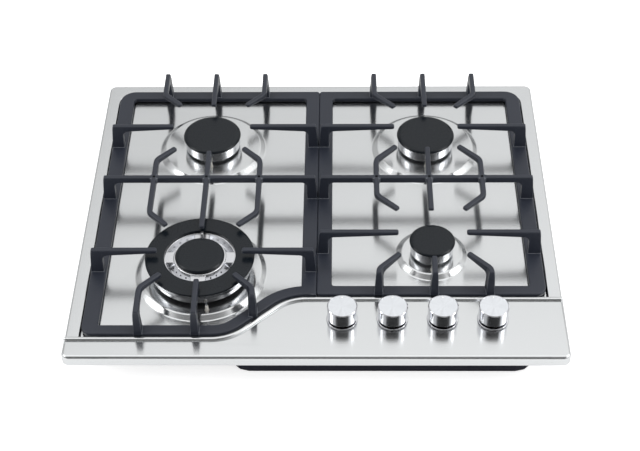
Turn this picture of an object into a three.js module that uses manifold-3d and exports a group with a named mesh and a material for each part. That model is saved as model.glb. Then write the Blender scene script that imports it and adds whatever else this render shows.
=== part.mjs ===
// A four-burner gas cooktop: a pressed steel top with a swept, raised control deck, two cast grates,
// three plain burners, one triple-crown burner, four push-and-turn knobs and the gas train underneath.
//
// Units are millimetres. X runs to the right, Y to the back and Z up. The origin is the middle of the
// cooktop on the plane that the tray's floor stands on.

import * as THREE from 'three';
import { mergeVertices } from 'three/addons/utils/BufferGeometryUtils.js';
import Module from 'manifold-3d';

const wasm = await Module();
wasm.setup();

// ---------------------------------------------------------------------------------------------------
// Driving dimensions
// ---------------------------------------------------------------------------------------------------

// Room between pieces that touch or slide.
const seatGap = 0.3;

// Pressed steel top.
const panelWidth = 580;
const panelDepth = 500;
const panelCorner = 9;
const sheet = 1;
const skirtDrop = 9;
const rimRounding = 3;
const rimWidth = 16.8;
const zoneDrop = 3;
const zoneCorner = 21;

// Raised control deck, bounded by a bead that sweeps forward on the left.
const deckDepthLeft = 28.6;
const deckDepthRight = 91.5;
const deckRise = 4;
const deckRounding = 4;
const beadRadius = 3.2;
const beadRise = 2;
const beadGroove = 1.6;
const sweepFromBurner = 73.2;
const sweepRadius = 55;
const sweepAngle = THREE.MathUtils.degToRad(43);
const sweepSteps = 9;

// Raised pads under the burners.
const padRise = 5;
const padBand = 6.8;

// Bottom tray.
const trayDepth = 40;
const traySideInset = 30;
const trayRearInset = 18;
const trayFrontInset = 18;
const trayLeftFrontInset = 45;
const trayNoseLeft = -106;
const trayCorner = 28;
const trayDraft = 5;
const trayFloorRounding = 5;
const trayFlange = 6;
const pocketWidth = 75;
const pocketDepth = 62;
const pocketHeight = 39.5;
const pocketCorner = 8;

// Cast grates.
const grateClearance = 1.8;
const grateGap = 3;
const grateBeadClearance = 3.6;
const grateHeight = 41.4;
const grateFootHeight = 1.5;
const grateFootRadius = 6;
const frameThickness = 6;
const frameEdge = 1.2;
const sideBar = 19;
const innerBar = 16.5;
const rearBar = 16;
const frontBar = 14.6;
const outerCorner = 20;
const frontCorner = 13;
const innerCorner = 4;
const fingerWidth = 7.3;
const fingerDepth = 8.4;
const fingerTipDepth = 5;
const fingerFillet = 6;
const fingerTopWidth = 6.1;
const postWidth = 10.4;
const postLean = 3.3;
const octagonHalf = 65.8;

// Burner places: the columns' distance apart, and each row's distance from the edge or bead next to it.
const burnerFromSide = 150.8;
const rearRowInset = 131;
const frontRightFromBead = 79.8;
const frontLeftFromBead = 111.9;

// Burner parts.
const capThickness = 4;
const capOverhang = 1.8;
const capLip = 1.2;
const headHeight = 17.7;
const headWall = 3;
const headFoot = 4;
const cupDepth = 32;
const cupWall = 2.4;
const cupLip = 2.4;
const cupFlange = 6;
const venturiBore = 7.5;
const venturiWall = 2;
const venturiLength = 18;
const injectorRadius = 3.5;
const portWidth = 1.6;
const portHeight = 3;
const electrodeRadius = 2.4;
const electrodeTip = 0.9;
const electrodeHeight = 13;

// Triple-crown burner: an outer crown with two tiers, a trough, and an inner crown bridged to it.
const ringCapOuter = 65.3;
const ringCapInner = 42.6;
const ringCapThickness = 3;
const pegRadius = 2;
const pegLength = 4;
const crownHeight = 22.2;
const crownFoot = 6;
const crownFloor = 3;
const upperTierHeight = 7.2;
const tierStep = 3;
const tierGroove = 0.8;
const troughFloor = 13.5;
const innerCrownRadius = 31;
const innerCrownRise = 1.5;
const bridgeWidth = 18;
const bridgeRib = 2.8;
const bridgeRibRise = 4;
const crownPortRadius = 0.9;

// Knobs and valves.
const knobFromSide = 85;
const knobPitch = 58.2;
const knobCount = 4;
const knobFromFront = 60;
const knobRadius = 17;
const knobHeight = 17;
const knobPushTravel = 3;
const knobEndGap = 0.2;
const knobWall = 2;
const knobHubRadius = 6;
const knobMarkRadius = 0.9;
const knobMarkInset = 3;
const bezelRadius = 18.4;
const bezelBore = 8;
const bezelHeight = 1;
const spindleRadius = 3;
const spindleLength = 36.7;
const spindleFlat = 2.2;
const collarRadius = 5.8;
const collarThickness = 2;
const plugRadius = 7;
const plugHeight = 16.5;
const plugBoreDepth = 11;
const valveRadius = 11;
const valveHeight = 37.7;
const valveLip = 3.4;
const valveFloor = 7.2;
const springRadius = 4.6;
const springWire = 0.9;
const springTurns = 3;

// Gas train.
const gasLevel = 24;
const railRadius = 7;
const railFromKnobs = 24;
const railSideInset = 21;
const railBend = 20;
const tubeRadius = 4;
const tubeBend = 22;
const bossRadius = 4.8;
const bossLength = 11;
const outletReach = 18;
const inletThreadRadius = 10.4;
const inletThreadLength = 15;
const inletHexRadius = 13;
const inletHexLength = 7;
const inletBore = 6;
const inletSpigotRadius = 8;
const inletSpigotLength = 19;

// Ignition parts and fixings.
const moduleSize = new THREE.Vector3(72, 44, 22);
const modulePlace = new THREE.Vector2(-46, -12);
const moduleTerminals = 4;
const glandRadius = 9;
const glandBore = 3.4;
const glandFromInlet = 34;
const sealWidth = 7;
const clampWidth = 20;
const clampReach = 22;
const clampDrop = 28;
const clampThickness = 1.5;
const clampFromEdge = 130;

// ---------------------------------------------------------------------------------------------------
// Levels and places that follow from them
// ---------------------------------------------------------------------------------------------------

const worktopZ = trayDepth;
const rimZ = worktopZ + skirtDrop;
const zoneZ = rimZ - zoneDrop;
const deckZ = rimZ + deckRise;
const padZ = zoneZ + padRise;
const beadZ = deckZ + beadRise - beadRadius;
const trayTopZ = zoneZ - sheet - seatGap;

const halfWidth = panelWidth / 2;
const halfDepth = panelDepth / 2;
const burnerX = halfWidth - burnerFromSide;
const sweepX = sweepFromBurner - burnerX;
const beadLeftY = deckDepthLeft - halfDepth;
const beadRightY = deckDepthRight - halfDepth;

const knobFirstX = halfWidth - knobFromSide - (knobCount - 1) * knobPitch;
const knobLift = seatGap + bezelHeight + knobPushTravel + knobEndGap;
const knobY = knobFromFront - halfDepth;
const railY = knobY - railFromKnobs;
const trayHalfX = halfWidth - traySideInset;
const trayRearY = halfDepth - trayRearInset;
const trayFrontY = trayFrontInset - halfDepth;
const pocketX = trayHalfX - pocketWidth;
const pocketY = trayRearY - pocketDepth;
const inletX = trayHalfX - railSideInset;

// The burners. capRadius is the black cap's, holeRadius the opening in the pad, padRadius the pad's foot,
// tips the distances from the burner to the grate's fingers: side, rear, front and along the diagonals.
const burners = {
  rear_left: {
    x: -burnerX,
    y: halfDepth - rearRowInset,
    capRadius: 37.3,
    holeRadius: 26,
    padRadius: 69,
    ports: 10,
    tips: { side: 50, rear: 42.5, front: 49.5, diagonal: 43.2 },
    inletAngle: 0,
    electrodeTurn: 0,
  },
  rear_right: {
    x: burnerX,
    y: halfDepth - rearRowInset,
    capRadius: 37.3,
    holeRadius: 26,
    padRadius: 69,
    ports: 10,
    tips: { side: 41, rear: 41.5, front: 42.3, diagonal: 39.6 },
    inletAngle: 0,
    electrodeTurn: 0,
  },
  front_right: {
    x: burnerX,
    y: beadRightY + frontRightFromBead,
    capRadius: 27.7,
    holeRadius: 19,
    padRadius: 43.5,
    ports: 10,
    tips: { side: 41, rear: 39, front: 41.4, diagonal: 40.2 },
    inletAngle: -Math.PI / 2,
    electrodeTurn: 0,
  },
  front_left: {
    x: -burnerX,
    y: beadLeftY + frontLeftFromBead,
    capRadius: 29.6,
    holeRadius: 26,
    padRadius: 79,
    ports: 14,
    tips: { side: 50.5, rear: 39, front: 48.3, diagonal: 43 },
    inletAngle: 0,
    electrodeTurn: Math.PI / 18,
  },
};

// ---------------------------------------------------------------------------------------------------
// Finishes
// ---------------------------------------------------------------------------------------------------

function finish(color, roughness, metalness) {
  return () => new THREE.MeshStandardMaterial({ color, roughness, metalness });
}

const brushedSteel = finish(0xc9cacb, 0.32, 1);
const polishedAluminium = finish(0xe2e3e5, 0.2, 1);
const castAluminium = finish(0xb9babd, 0.45, 1);
const castIron = finish(0x3b3c43, 0.72, 0.1);
const blackEnamel = finish(0x32363b, 0.42, 0);
const darkSheet = finish(0x2b2b36, 0.5, 0.6);
const zincSheet = finish(0x9a9da1, 0.45, 1);
const brass = finish(0xb59a54, 0.35, 1);
const ceramic = finish(0xeeece6, 0.4, 0);
const blackPlastic = finish(0x1d1d1f, 0.6, 0);
const foam = finish(0x4a4a4c, 0.95, 0);

// ---------------------------------------------------------------------------------------------------
// Solids
// ---------------------------------------------------------------------------------------------------

// Turns a closed geometry into a solid, whichever way round its faces were wound.
function solid(geometry) {
  const bare = new THREE.BufferGeometry();
  bare.setAttribute('position', geometry.getAttribute('position'));
  if (geometry.index) bare.setIndex(geometry.index);
  const merged = mergeVertices(bare, 1e-4);
  const vertProperties = new Float32Array(merged.getAttribute('position').array);
  const corner = (i) => new THREE.Vector3().fromArray(vertProperties, i * 3);
  const kept = [];
  let volume = 0;
  for (let i = 0; i < merged.index.count; i += 3) {
    const [a, b, c] = [0, 1, 2].map((k) => merged.index.getX(i + k));
    if (a === b || b === c || c === a) continue;
    kept.push(a, b, c);
    volume += corner(a).dot(corner(b).cross(corner(c)));
  }
  if (volume < 0) kept.reverse();
  const mesh = new wasm.Mesh({ numProp: 3, vertProperties, triVerts: new Uint32Array(kept) });
  return new wasm.Manifold(mesh);
}

function geometryOf(body) {
  const { vertProperties, triVerts } = body.getMesh();
  const geometry = new THREE.BufferGeometry();
  geometry.setAttribute('position', new THREE.BufferAttribute(new Float32Array(vertProperties), 3));
  geometry.setIndex(new THREE.BufferAttribute(new Uint32Array(triVerts), 1));
  geometry.computeVertexNormals();
  return geometry;
}

function join(...bodies) {
  return bodies.reduce((whole, body) => whole.add(body));
}

function cut(body, ...tools) {
  return tools.reduce((whole, tool) => whole.subtract(tool), body);
}

// A turned form about Z from a profile of [radius, z] points.
function turned(profile, sides, x = 0, y = 0) {
  const points = profile.map(([radius, z]) => new THREE.Vector2(radius, z));
  const onAxis = points[0].x === 0 && points[points.length - 1].x === 0;
  if (!onAxis) points.push(points[0].clone());
  const geometry = new THREE.LatheGeometry(points, sides);
  return solid(geometry.rotateX(Math.PI / 2).translate(x, y, 0));
}

// A cylinder from one point to another.
function rod(from, to, radius, sides) {
  const along = to.clone().sub(from);
  const geometry = new THREE.CylinderGeometry(radius, radius, along.length(), sides);
  geometry.translate(0, along.length() / 2, 0);
  const turn = new THREE.Quaternion().setFromUnitVectors(
    new THREE.Vector3(0, 1, 0), along.clone().normalize());
  geometry.applyQuaternion(turn);
  geometry.translate(from.x, from.y, from.z);
  return solid(geometry);
}

// A block between two opposite corners, turned about Z by the given angle.
function block(low, high, turn = 0) {
  const size = high.clone().sub(low);
  const geometry = new THREE.BoxGeometry(size.x, size.y, size.z);
  geometry.translate(low.x + size.x / 2, low.y + size.y / 2, low.z + size.z / 2);
  return solid(geometry.rotateZ(turn));
}

// A closed loft through rings of points, all with the same number of points. The two end faces are
// given as triangles of ring positions.
function lofted(rings, firstFaces, lastFaces) {
  const count = rings[0].length;
  const index = [];
  for (let level = 0; level + 1 < rings.length; level++) {
    for (let i = 0; i < count; i++) {
      const low = level * count;
      const next = (i + 1) % count;
      index.push(low + i, low + next, low + count + i);
      index.push(low + next, low + count + next, low + count + i);
    }
  }
  const top = (rings.length - 1) * count;
  for (const [a, b, c] of firstFaces) index.push(c, b, a);
  for (const [a, b, c] of lastFaces) index.push(top + a, top + b, top + c);
  const positions = rings.flat().flatMap((point) => [point.x, point.y, point.z]);
  const geometry = new THREE.BufferGeometry();
  geometry.setAttribute('position', new THREE.BufferAttribute(new Float32Array(positions), 3));
  geometry.setIndex(index);
  return solid(geometry);
}

// A loft between level plan outlines: outline(inset) gives the outline drawn in by that much, and each
// level states its inset and height.
function stacked(outline, levels) {
  const plans = levels.map(({ inset }) => outline(inset));
  const rings = levels.map(({ z }, k) => plans[k].map((p) => new THREE.Vector3(p.x, p.y, z)));
  const faces = (plan) => THREE.ShapeUtils.triangulateShape(plan, []);
  return lofted(rings, faces(plans[0]), faces(plans[plans.length - 1]));
}

// A round bar along a level line of plan points.
function bar(points, z, radius, sides) {
  const rings = points.map((point, k) => {
    const before = points[Math.max(k - 1, 0)];
    const after = points[Math.min(k + 1, points.length - 1)];
    const along = after.clone().sub(before).normalize();
    return Array.from({ length: sides }, (_, i) => {
      const angle = (i / sides) * 2 * Math.PI;
      const across = radius * Math.cos(angle);
      return new THREE.Vector3(
        point.x - along.y * across, point.y + along.x * across, z + radius * Math.sin(angle));
    });
  });
  const fan = Array.from({ length: sides - 2 }, (_, i) => [0, i + 1, i + 2]);
  return lofted(rings, fan, fan);
}

// A pipe along a level route of [x, y] points, with bends of the given radius where there is room.
function pipe(route, z, radius, bend, sides) {
  const points = route.map(([x, y]) => new THREE.Vector2(x, y));
  const line = [points[0]];
  for (let k = 1; k + 1 < points.length; k++) {
    const back = points[k - 1].clone().sub(points[k]);
    const ahead = points[k + 1].clone().sub(points[k]);
    const reach = Math.min(bend, back.length() / 2, ahead.length() / 2) * 0.98;
    const start = points[k].clone().addScaledVector(back.normalize(), reach);
    const end = points[k].clone().addScaledVector(ahead.normalize(), reach);
    const curve = new THREE.QuadraticBezierCurve(start, points[k], end);
    line.push(...curve.getPoints(3));
  }
  line.push(points[points.length - 1]);
  return bar(line, z, radius, sides);
}

// Levels that round a stack's upper edge over the given radius.
function roundedTop(bottomZ, topZ, radius, inset = 0, steps = 3) {
  const levels = [{ inset, z: bottomZ }];
  for (let i = 0; i <= steps; i++) {
    const angle = (i / steps) * (Math.PI / 2);
    levels.push({
      inset: inset + radius * (1 - Math.cos(angle)),
      z: topZ - radius * (1 - Math.sin(angle)),
    });
  }
  return levels;
}

// A rectangle with a radius of its own at each corner, in the order front left, front right,
// rear right, rear left.
function rectangle(left, right, front, rear, radii, inset = 0, steps = 5) {
  const corners = [
    [left, front, 1, 1, Math.PI],
    [right, front, -1, 1, -Math.PI / 2],
    [right, rear, -1, -1, 0],
    [left, rear, 1, -1, Math.PI / 2],
  ];
  return corners.flatMap(([x, y, towardX, towardY, start], k) => {
    const radius = Math.max(radii[k] - inset, 0.2);
    const centreX = x + towardX * (inset + radius);
    const centreY = y + towardY * (inset + radius);
    return Array.from({ length: steps + 1 }, (_, i) => {
      const angle = start + (i / steps) * (Math.PI / 2);
      return new THREE.Vector2(
        centreX + radius * Math.cos(angle), centreY + radius * Math.sin(angle));
    });
  });
}

// ---------------------------------------------------------------------------------------------------
// The swept bead line
// ---------------------------------------------------------------------------------------------------

// Two bends joined by a straight run. The bends' radius is limited by the rise that they share.
const sweepRise = beadRightY - beadLeftY;
const bendRise = 1 - Math.cos(sweepAngle);
const bendRadius = Math.min(sweepRadius, sweepRise / (2 * bendRise));
const straightRun = (sweepRise - 2 * bendRadius * bendRise) / Math.sin(sweepAngle);
const sweepHalf = bendRadius * Math.sin(sweepAngle) + (straightRun / 2) * Math.cos(sweepAngle);
const sweepStart = sweepX - sweepHalf;
const sweepEnd = sweepX + sweepHalf;

// The line's Y at an X, for a line that runs the given distance behind the bead's middle.
function sweepY(x, behind) {
  const firstRadius = bendRadius - behind;
  const secondRadius = bendRadius + behind;
  const firstEnd = sweepStart + firstRadius * Math.sin(sweepAngle);
  const secondStart = sweepEnd - secondRadius * Math.sin(sweepAngle);
  if (x <= sweepStart) return beadLeftY + behind;
  if (x >= sweepEnd) return beadRightY + behind;
  if (x < firstEnd) {
    return beadLeftY + bendRadius - Math.sqrt(firstRadius ** 2 - (x - sweepStart) ** 2);
  }
  if (x > secondStart) {
    return beadRightY - bendRadius + Math.sqrt(secondRadius ** 2 - (sweepEnd - x) ** 2);
  }
  const firstEndY = beadLeftY + bendRadius - firstRadius * Math.cos(sweepAngle);
  return firstEndY + (x - firstEnd) * Math.tan(sweepAngle);
}

// Points along that line from one X to another, left to right.
function sweepLine(fromX, toX, behind) {
  const last = Math.min(sweepEnd, toX);
  const inside = Array.from({ length: sweepSteps + 1 }, (_, i) =>
    sweepStart + (i / sweepSteps) * (last - sweepStart));
  const places = last < toX ? [fromX, ...inside, toX] : [fromX, ...inside];
  return places.map((x) => new THREE.Vector2(x, sweepY(x, behind)));
}

// ---------------------------------------------------------------------------------------------------
// Pressed steel top
// ---------------------------------------------------------------------------------------------------

function panelOutline(inset) {
  const corners = Array(4).fill(panelCorner);
  return rectangle(-halfWidth, halfWidth, -halfDepth, halfDepth, corners, inset);
}

// The deck's plan: the panel's own outline, ending at the groove in front of the bead.
function deckOutline(inset) {
  const front = panelOutline(inset).slice(0, panelOutline(inset).length / 2);
  const rear = sweepLine(inset - halfWidth, halfWidth - inset, -beadGroove - inset);
  return [...front, ...rear.reverse()];
}

// The strip that carries the bead. Its front stays in line with the groove.
function beadStrip(inset) {
  const reach = halfWidth - beadRadius;
  const front = sweepLine(-reach, reach, -beadRadius);
  const rear = sweepLine(-reach, reach, beadRadius - inset);
  return [...front, ...rear.reverse()];
}

// The burner zone's plan, which ends at the bead's back.
function zoneOutline(inset) {
  const side = halfWidth - rimWidth;
  const round = rectangle(
    -side, side, -halfDepth, halfDepth - rimWidth, Array(4).fill(zoneCorner), inset);
  const rear = round.slice(round.length / 2);
  return [...sweepLine(inset - side, side - inset, beadRadius + inset), ...rear];
}

// The bead is a round bar on its strip. Its inner skin follows as a ridge.
function bead(depth) {
  const reach = halfWidth - beadRadius;
  if (depth > 0) {
    return stacked(beadStrip, [
      { inset: depth, z: worktopZ },
      { inset: depth, z: beadZ - depth },
    ]);
  }
  const strip = stacked(beadStrip, [
    { inset: 0, z: worktopZ },
    { inset: 0, z: beadZ },
  ]);
  const line = sweepLine(-reach, reach, 0);
  const ends = [-reach, reach].map((x) => {
    const ball = new THREE.SphereGeometry(beadRadius, 10, 6);
    ball.rotateX(Math.PI / 2);
    ball.translate(x, sweepY(x, 0), beadZ);
    return solid(ball);
  });
  return join(bar(line, beadZ, beadRadius, 10), strip, ...ends);
}

const padSides = 24;

// A burner's raised pad: a low cone with a flat top. An inner skin follows it at the given depth.
function pad(burner, depth) {
  const slope = Math.atan2(padRise, padBand);
  const foot = burner.padRadius - depth * Math.tan(slope / 2);
  const shoulder = foot - padBand;
  const bend = padBand * 0.16;
  const lift = padRise * 0.08;
  return turned([
    [0, worktopZ],
    [foot, worktopZ],
    [foot, zoneZ - depth],
    [shoulder + bend, padZ - lift - depth],
    [shoulder, padZ - depth],
    [0, padZ - depth],
  ], depth > 0 ? padSides / 2 : padSides, burner.x, burner.y);
}

// The volume under the pressed surface, with its skin drawn in by the given depth.
function pressedForm(depth) {
  const steps = depth > 0 ? 1 : 2;
  const rimLevels = roundedTop(worktopZ - depth, rimZ - depth, rimRounding - depth, depth, steps);
  const rim = stacked(panelOutline, rimLevels);
  const zone = stacked(zoneOutline, [
    { inset: -depth, z: zoneZ - depth },
    { inset: -depth, z: deckZ },
  ]);
  const deckLevels = roundedTop(worktopZ - depth, deckZ - depth, deckRounding - depth, depth, steps);
  const deck = stacked(deckOutline, deckLevels);
  const pads = Object.values(burners).map((burner) => pad(burner, depth));
  return join(cut(rim, zone), deck, bead(depth), ...pads);
}

// The electrode stands in front of its burner, beside the head's widest tier.
function electrodePlace(burner) {
  const crown = burner === burners.front_left ? ringCapOuter - tierStep + 1 : burner.capRadius;
  const reach = crown - capOverhang + 0.9 + 2 * seatGap + electrodeRadius;
  const { x, y } = burner;
  return new THREE.Vector3(
    x + reach * Math.sin(burner.electrodeTurn), y - reach * Math.cos(burner.electrodeTurn), 0);
}

function makeTopPanel() {
  const above = deckZ + beadRise + deckRise;
  const hole = (x, y, radius, sides) => rod(
    new THREE.Vector3(x, y, worktopZ), new THREE.Vector3(x, y, above), radius, sides);
  const holes = Object.values(burners).flatMap((burner) => {
    const pin = electrodePlace(burner);
    return [
      hole(burner.x, burner.y, burner.holeRadius, nestSides),
      hole(pin.x, pin.y, electrodeRadius + 2 * seatGap, 6),
    ];
  });
  const spindleHoles = knobPlaces.map((x) => hole(x, knobY, collarRadius + seatGap, 8));
  return cut(pressedForm(0), pressedForm(sheet), ...holes, ...spindleHoles);
}

// ---------------------------------------------------------------------------------------------------
// Bottom tray and fixings
// ---------------------------------------------------------------------------------------------------

function mainTrayOutline(inset) {
  const corners = Array(4).fill(trayCorner);
  const front = trayFrontY + trayLeftFrontInset - trayFrontInset;
  return rectangle(-trayHalfX, trayHalfX, front, trayRearY, corners, inset, 3);
}

// The nose holds the valves and the gas rail under the deck.
function noseOutline(inset) {
  const corners = Array(4).fill(trayCorner);
  return rectangle(trayNoseLeft, trayHalfX, trayFrontY, 0, corners, inset, 3);
}

function pocket(grow) {
  const outline = (inset) => rectangle(
    pocketX, trayHalfX + pocketWidth, pocketY, trayRearY + pocketDepth,
    Array(4).fill(pocketCorner), inset - grow, 2);
  return stacked(outline, [
    { inset: 0, z: -trayFloorRounding },
    { inset: 0, z: pocketHeight + grow },
  ]);
}

function trayForm(depth) {
  const levels = [
    { inset: trayDraft + trayFloorRounding + depth, z: depth },
    { inset: trayDraft + trayFloorRounding * 0.3 + depth, z: trayFloorRounding * 0.3 + depth },
    { inset: trayDraft + depth, z: trayFloorRounding + depth },
    { inset: depth, z: trayTopZ + depth },
  ];
  return join(stacked(mainTrayOutline, levels), stacked(noseOutline, levels));
}

function makeTray() {
  const lip = [
    { inset: -trayFlange, z: trayTopZ - sheet },
    { inset: -trayFlange, z: trayTopZ },
  ];
  const outside = join(trayForm(0), stacked(mainTrayOutline, lip), stacked(noseOutline, lip));
  const inside = cut(trayForm(sheet), pocket(sheet));
  const shell = cut(outside, inside, pocket(0));
  const wallHole = (x, radius) => rod(
    new THREE.Vector3(x, pocketY - pocketCorner, gasLevel),
    new THREE.Vector3(x, pocketY + pocketCorner, gasLevel), radius, 16);
  return cut(
    shell,
    wallHole(inletX, inletSpigotRadius + seatGap),
    wallHole(inletX - glandFromInlet, glandRadius * 0.7 + seatGap));
}

// The foam strip between the panel's rim and the worktop.
function makeRimSeal() {
  const outer = sheet + rimRounding;
  const levels = (inset) => [
    { inset, z: worktopZ },
    { inset, z: rimZ - sheet - seatGap },
  ];
  const plan = (inset) => rectangle(
    -halfWidth, halfWidth, -halfDepth, halfDepth, Array(4).fill(panelCorner), inset, 2);
  const opening = [
    { inset: outer + sealWidth, z: worktopZ - 1 },
    { inset: outer + sealWidth, z: rimZ },
  ];
  return cut(stacked(plan, levels(outer)), stacked(plan, opening));
}

// A bracket on the tray's side wall that reaches out under the worktop.
function makeClamp() {
  const top = trayTopZ - sheet - seatGap;
  const foot = worktopZ - clampDrop;
  const half = clampWidth / 2;
  const leg = block(
    new THREE.Vector3(0, -half, foot), new THREE.Vector3(clampThickness, half, top));
  const arm = block(
    new THREE.Vector3(0, -half, foot), new THREE.Vector3(clampReach, half, foot + clampThickness));
  const screw = rod(
    new THREE.Vector3(clampThickness / 2, 0, top - half),
    new THREE.Vector3(clampThickness + 2, 0, top - half), 3.5, 8);
  return join(leg, arm, screw);
}

// ---------------------------------------------------------------------------------------------------
// Cast grates
// ---------------------------------------------------------------------------------------------------

const frameBottomZ = zoneZ + seatGap + grateFootHeight;
const frameTopZ = frameBottomZ + frameThickness;
const fingerTopZ = zoneZ + grateHeight;
const grateOuterX = halfWidth - rimWidth - grateClearance;
const grateInnerX = grateGap / 2;
const grateRearY = halfDepth - rimWidth - grateClearance;
const crossBarY = 19.3;

// The grate's plan, drawn for the left side; side is -1 for the left grate and 1 for the right one.
// The front edge follows the bead.
function grateOutline(side, inset) {
  const low = side < 0 ? -grateOuterX : grateInnerX;
  const high = side < 0 ? -grateInnerX : grateOuterX;
  const leftRadius = side < 0 ? outerCorner : innerCorner;
  const rightRadius = side < 0 ? innerCorner : outerCorner;
  const plan = rectangle(
    low, high, -halfDepth, grateRearY,
    [0, 0, rightRadius, leftRadius], inset, 4);
  const rear = plan.slice(plan.length / 2);
  const behind = beadRadius + grateBeadClearance + inset;
  if (side > 0) {
    const front = sweepY(halfWidth, behind);
    const corners = rectangle(
      low, high, front - inset, grateRearY, [innerCorner, frontCorner, 0, 0], inset, 4);
    return [...corners.slice(0, corners.length / 2), ...rear];
  }
  const front = sweepY(-halfWidth, behind);
  const corner = rectangle(
    low, high, front - inset, grateRearY, [frontCorner, 0, 0, 0], inset, 4).slice(0, 5);
  return [...corner, ...sweepLine(low + frontCorner + inset + 1, high - inset, behind), ...rear];
}

// The opening inside the frame bars. Its front edge runs parallel to the bead as well.
function grateOpening(side, inset) {
  const low = side < 0 ? -grateOuterX + sideBar : grateInnerX + innerBar;
  const high = side < 0 ? -grateInnerX - innerBar : grateOuterX - sideBar;
  const radii = Array(4).fill(innerCorner);
  const behind = beadRadius + grateBeadClearance + frontBar + inset;
  const front = sweepY(side * halfWidth, behind) - inset;
  const plan = rectangle(low, high, front, grateRearY - rearBar, radii, inset, 2);
  if (side > 0) return plan;
  const rear = plan.slice(plan.length / 2);
  return [...sweepLine(low + inset, high - inset, behind), ...rear];
}

// A raised bar: a fin along a plan path, drafted towards its top. The profile lists stations
// [distance along the path, low Z, high Z, width at low Z, width at high Z]; each bend gets a mitred
// station of its own.
function fin(path, profile) {
  const points = path.map(([x, y]) => new THREE.Vector2(x, y));
  const distances = [0];
  for (let k = 1; k < points.length; k++) {
    distances.push(distances[k - 1] + points[k].distanceTo(points[k - 1]));
  }
  const directions = points.slice(1).map((point, k) => point.clone().sub(points[k]).normalize());
  const bends = distances.slice(1, -1).map((distance) => {
    const next = profile.findIndex((station) => station[0] > distance);
    const [before, after] = [profile[next - 1], profile[next]];
    const share = (distance - before[0]) / (after[0] - before[0]);
    return before.map((value, n) => value + share * (after[n] - value));
  });
  const stations = [...profile, ...bends].sort((a, b) => a[0] - b[0]);
  const rings = stations.map(([distance, low, high, lowWidth, highWidth]) => {
    const next = Math.max(distances.findIndex((d) => d >= distance - 1e-6), 1);
    const atBend = Math.abs(distances[next] - distance) < 1e-6 && next < directions.length;
    const incoming = directions[next - 1];
    const outgoing = atBend ? directions[next] : incoming;
    const along = incoming.clone().add(outgoing).normalize();
    const across = new THREE.Vector2(-along.y, along.x).divideScalar(along.dot(incoming));
    const place = points[next - 1].clone().addScaledVector(incoming, distance - distances[next - 1]);
    const section = [
      [-lowWidth / 2, low],
      [-highWidth / 2, high],
      [highWidth / 2, high],
      [lowWidth / 2, low],
    ];
    return section.map(([offset, z]) =>
      new THREE.Vector3(place.x + across.x * offset, place.y + across.y * offset, z));
  });
  const fan = [[0, 1, 2], [0, 2, 3]];
  return lofted(rings, fan, fan);
}

function pathLength(path) {
  return path.slice(1).reduce(
    (sum, [x, y], k) => sum + Math.hypot(x - path[k][0], y - path[k][1]), 0);
}

// The stations of a post that rises from the frame's edge: a leaning face outside, and inside a
// drafted face that curves into the bar's underside. The inner face lies at the given distance.
function postStations(inner) {
  const low = frameBottomZ + frameEdge;
  const underside = fingerTopZ - fingerDepth;
  return [
    [0, low, frameTopZ, postWidth, postWidth],
    [postLean, low, fingerTopZ, postWidth, fingerTopWidth],
    [inner, low, fingerTopZ, postWidth, fingerTopWidth],
    [inner + fingerFillet * 0.15, underside - fingerFillet, fingerTopZ, fingerWidth, fingerTopWidth],
    [inner + fingerFillet * 0.45, underside - fingerFillet * 0.3, fingerTopZ, fingerWidth,
      fingerTopWidth],
    [inner + fingerFillet, underside, fingerTopZ, fingerWidth, fingerTopWidth],
  ];
}

// The stations of a rounded tip that ends at the given distance.
function tipStations(end) {
  const underside = fingerTopZ - fingerTipDepth;
  return [
    [end - fingerWidth * 0.25, underside, fingerTopZ, fingerWidth, fingerTopWidth],
    [end, underside + 1, fingerTopZ - 1, fingerWidth * 0.6, fingerTopWidth * 0.6],
  ];
}

// The same stations counted from a path's other end.
function fromEnd(stations, length) {
  return stations.map(([distance, ...rest]) => [length - distance, ...rest]).reverse();
}

// A finger from a post on the frame, by way of an optional bend, to its tip.
function finger(root, bar, way) {
  const path = [root, ...way];
  const firstBend = way.length > 1 ? pathLength(path.slice(0, 2)) : 0;
  const clearOfBend = Math.abs(firstBend - bar) < fingerWidth ? firstBend + fingerWidth / 3 : 0;
  const inner = Math.max(bar - fingerFillet / 2, clearOfBend);
  return fin(path, [...postStations(inner), ...tipStations(pathLength(path))]);
}

// A bar that rests on the cross-bar and has a tip at both ends.
function freeBar(path) {
  const length = pathLength(path);
  const crossing = path.findIndex(([, y]) => y === crossBarY);
  const middle = pathLength(path.slice(0, crossing + 1));
  const underside = fingerTopZ - fingerDepth;
  const tip = tipStations(length);
  const straight = path.filter((point, k) => k !== crossing);
  return fin(straight, [
    ...fromEnd(tipStations(0), 0),
    [middle - fingerWidth, underside, fingerTopZ, fingerWidth, fingerTopWidth],
    [middle + fingerWidth, underside, fingerTopZ, fingerWidth, fingerTopWidth],
    ...tip,
  ]);
}

function crossBar(low, high, leftBar, rightBar) {
  const length = high - low;
  const left = postStations(leftBar - fingerFillet / 2);
  const right = fromEnd(postStations(rightBar - fingerFillet / 2), length);
  return fin([[low, crossBarY], [high, crossBarY]], [...left, ...right]);
}

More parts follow.
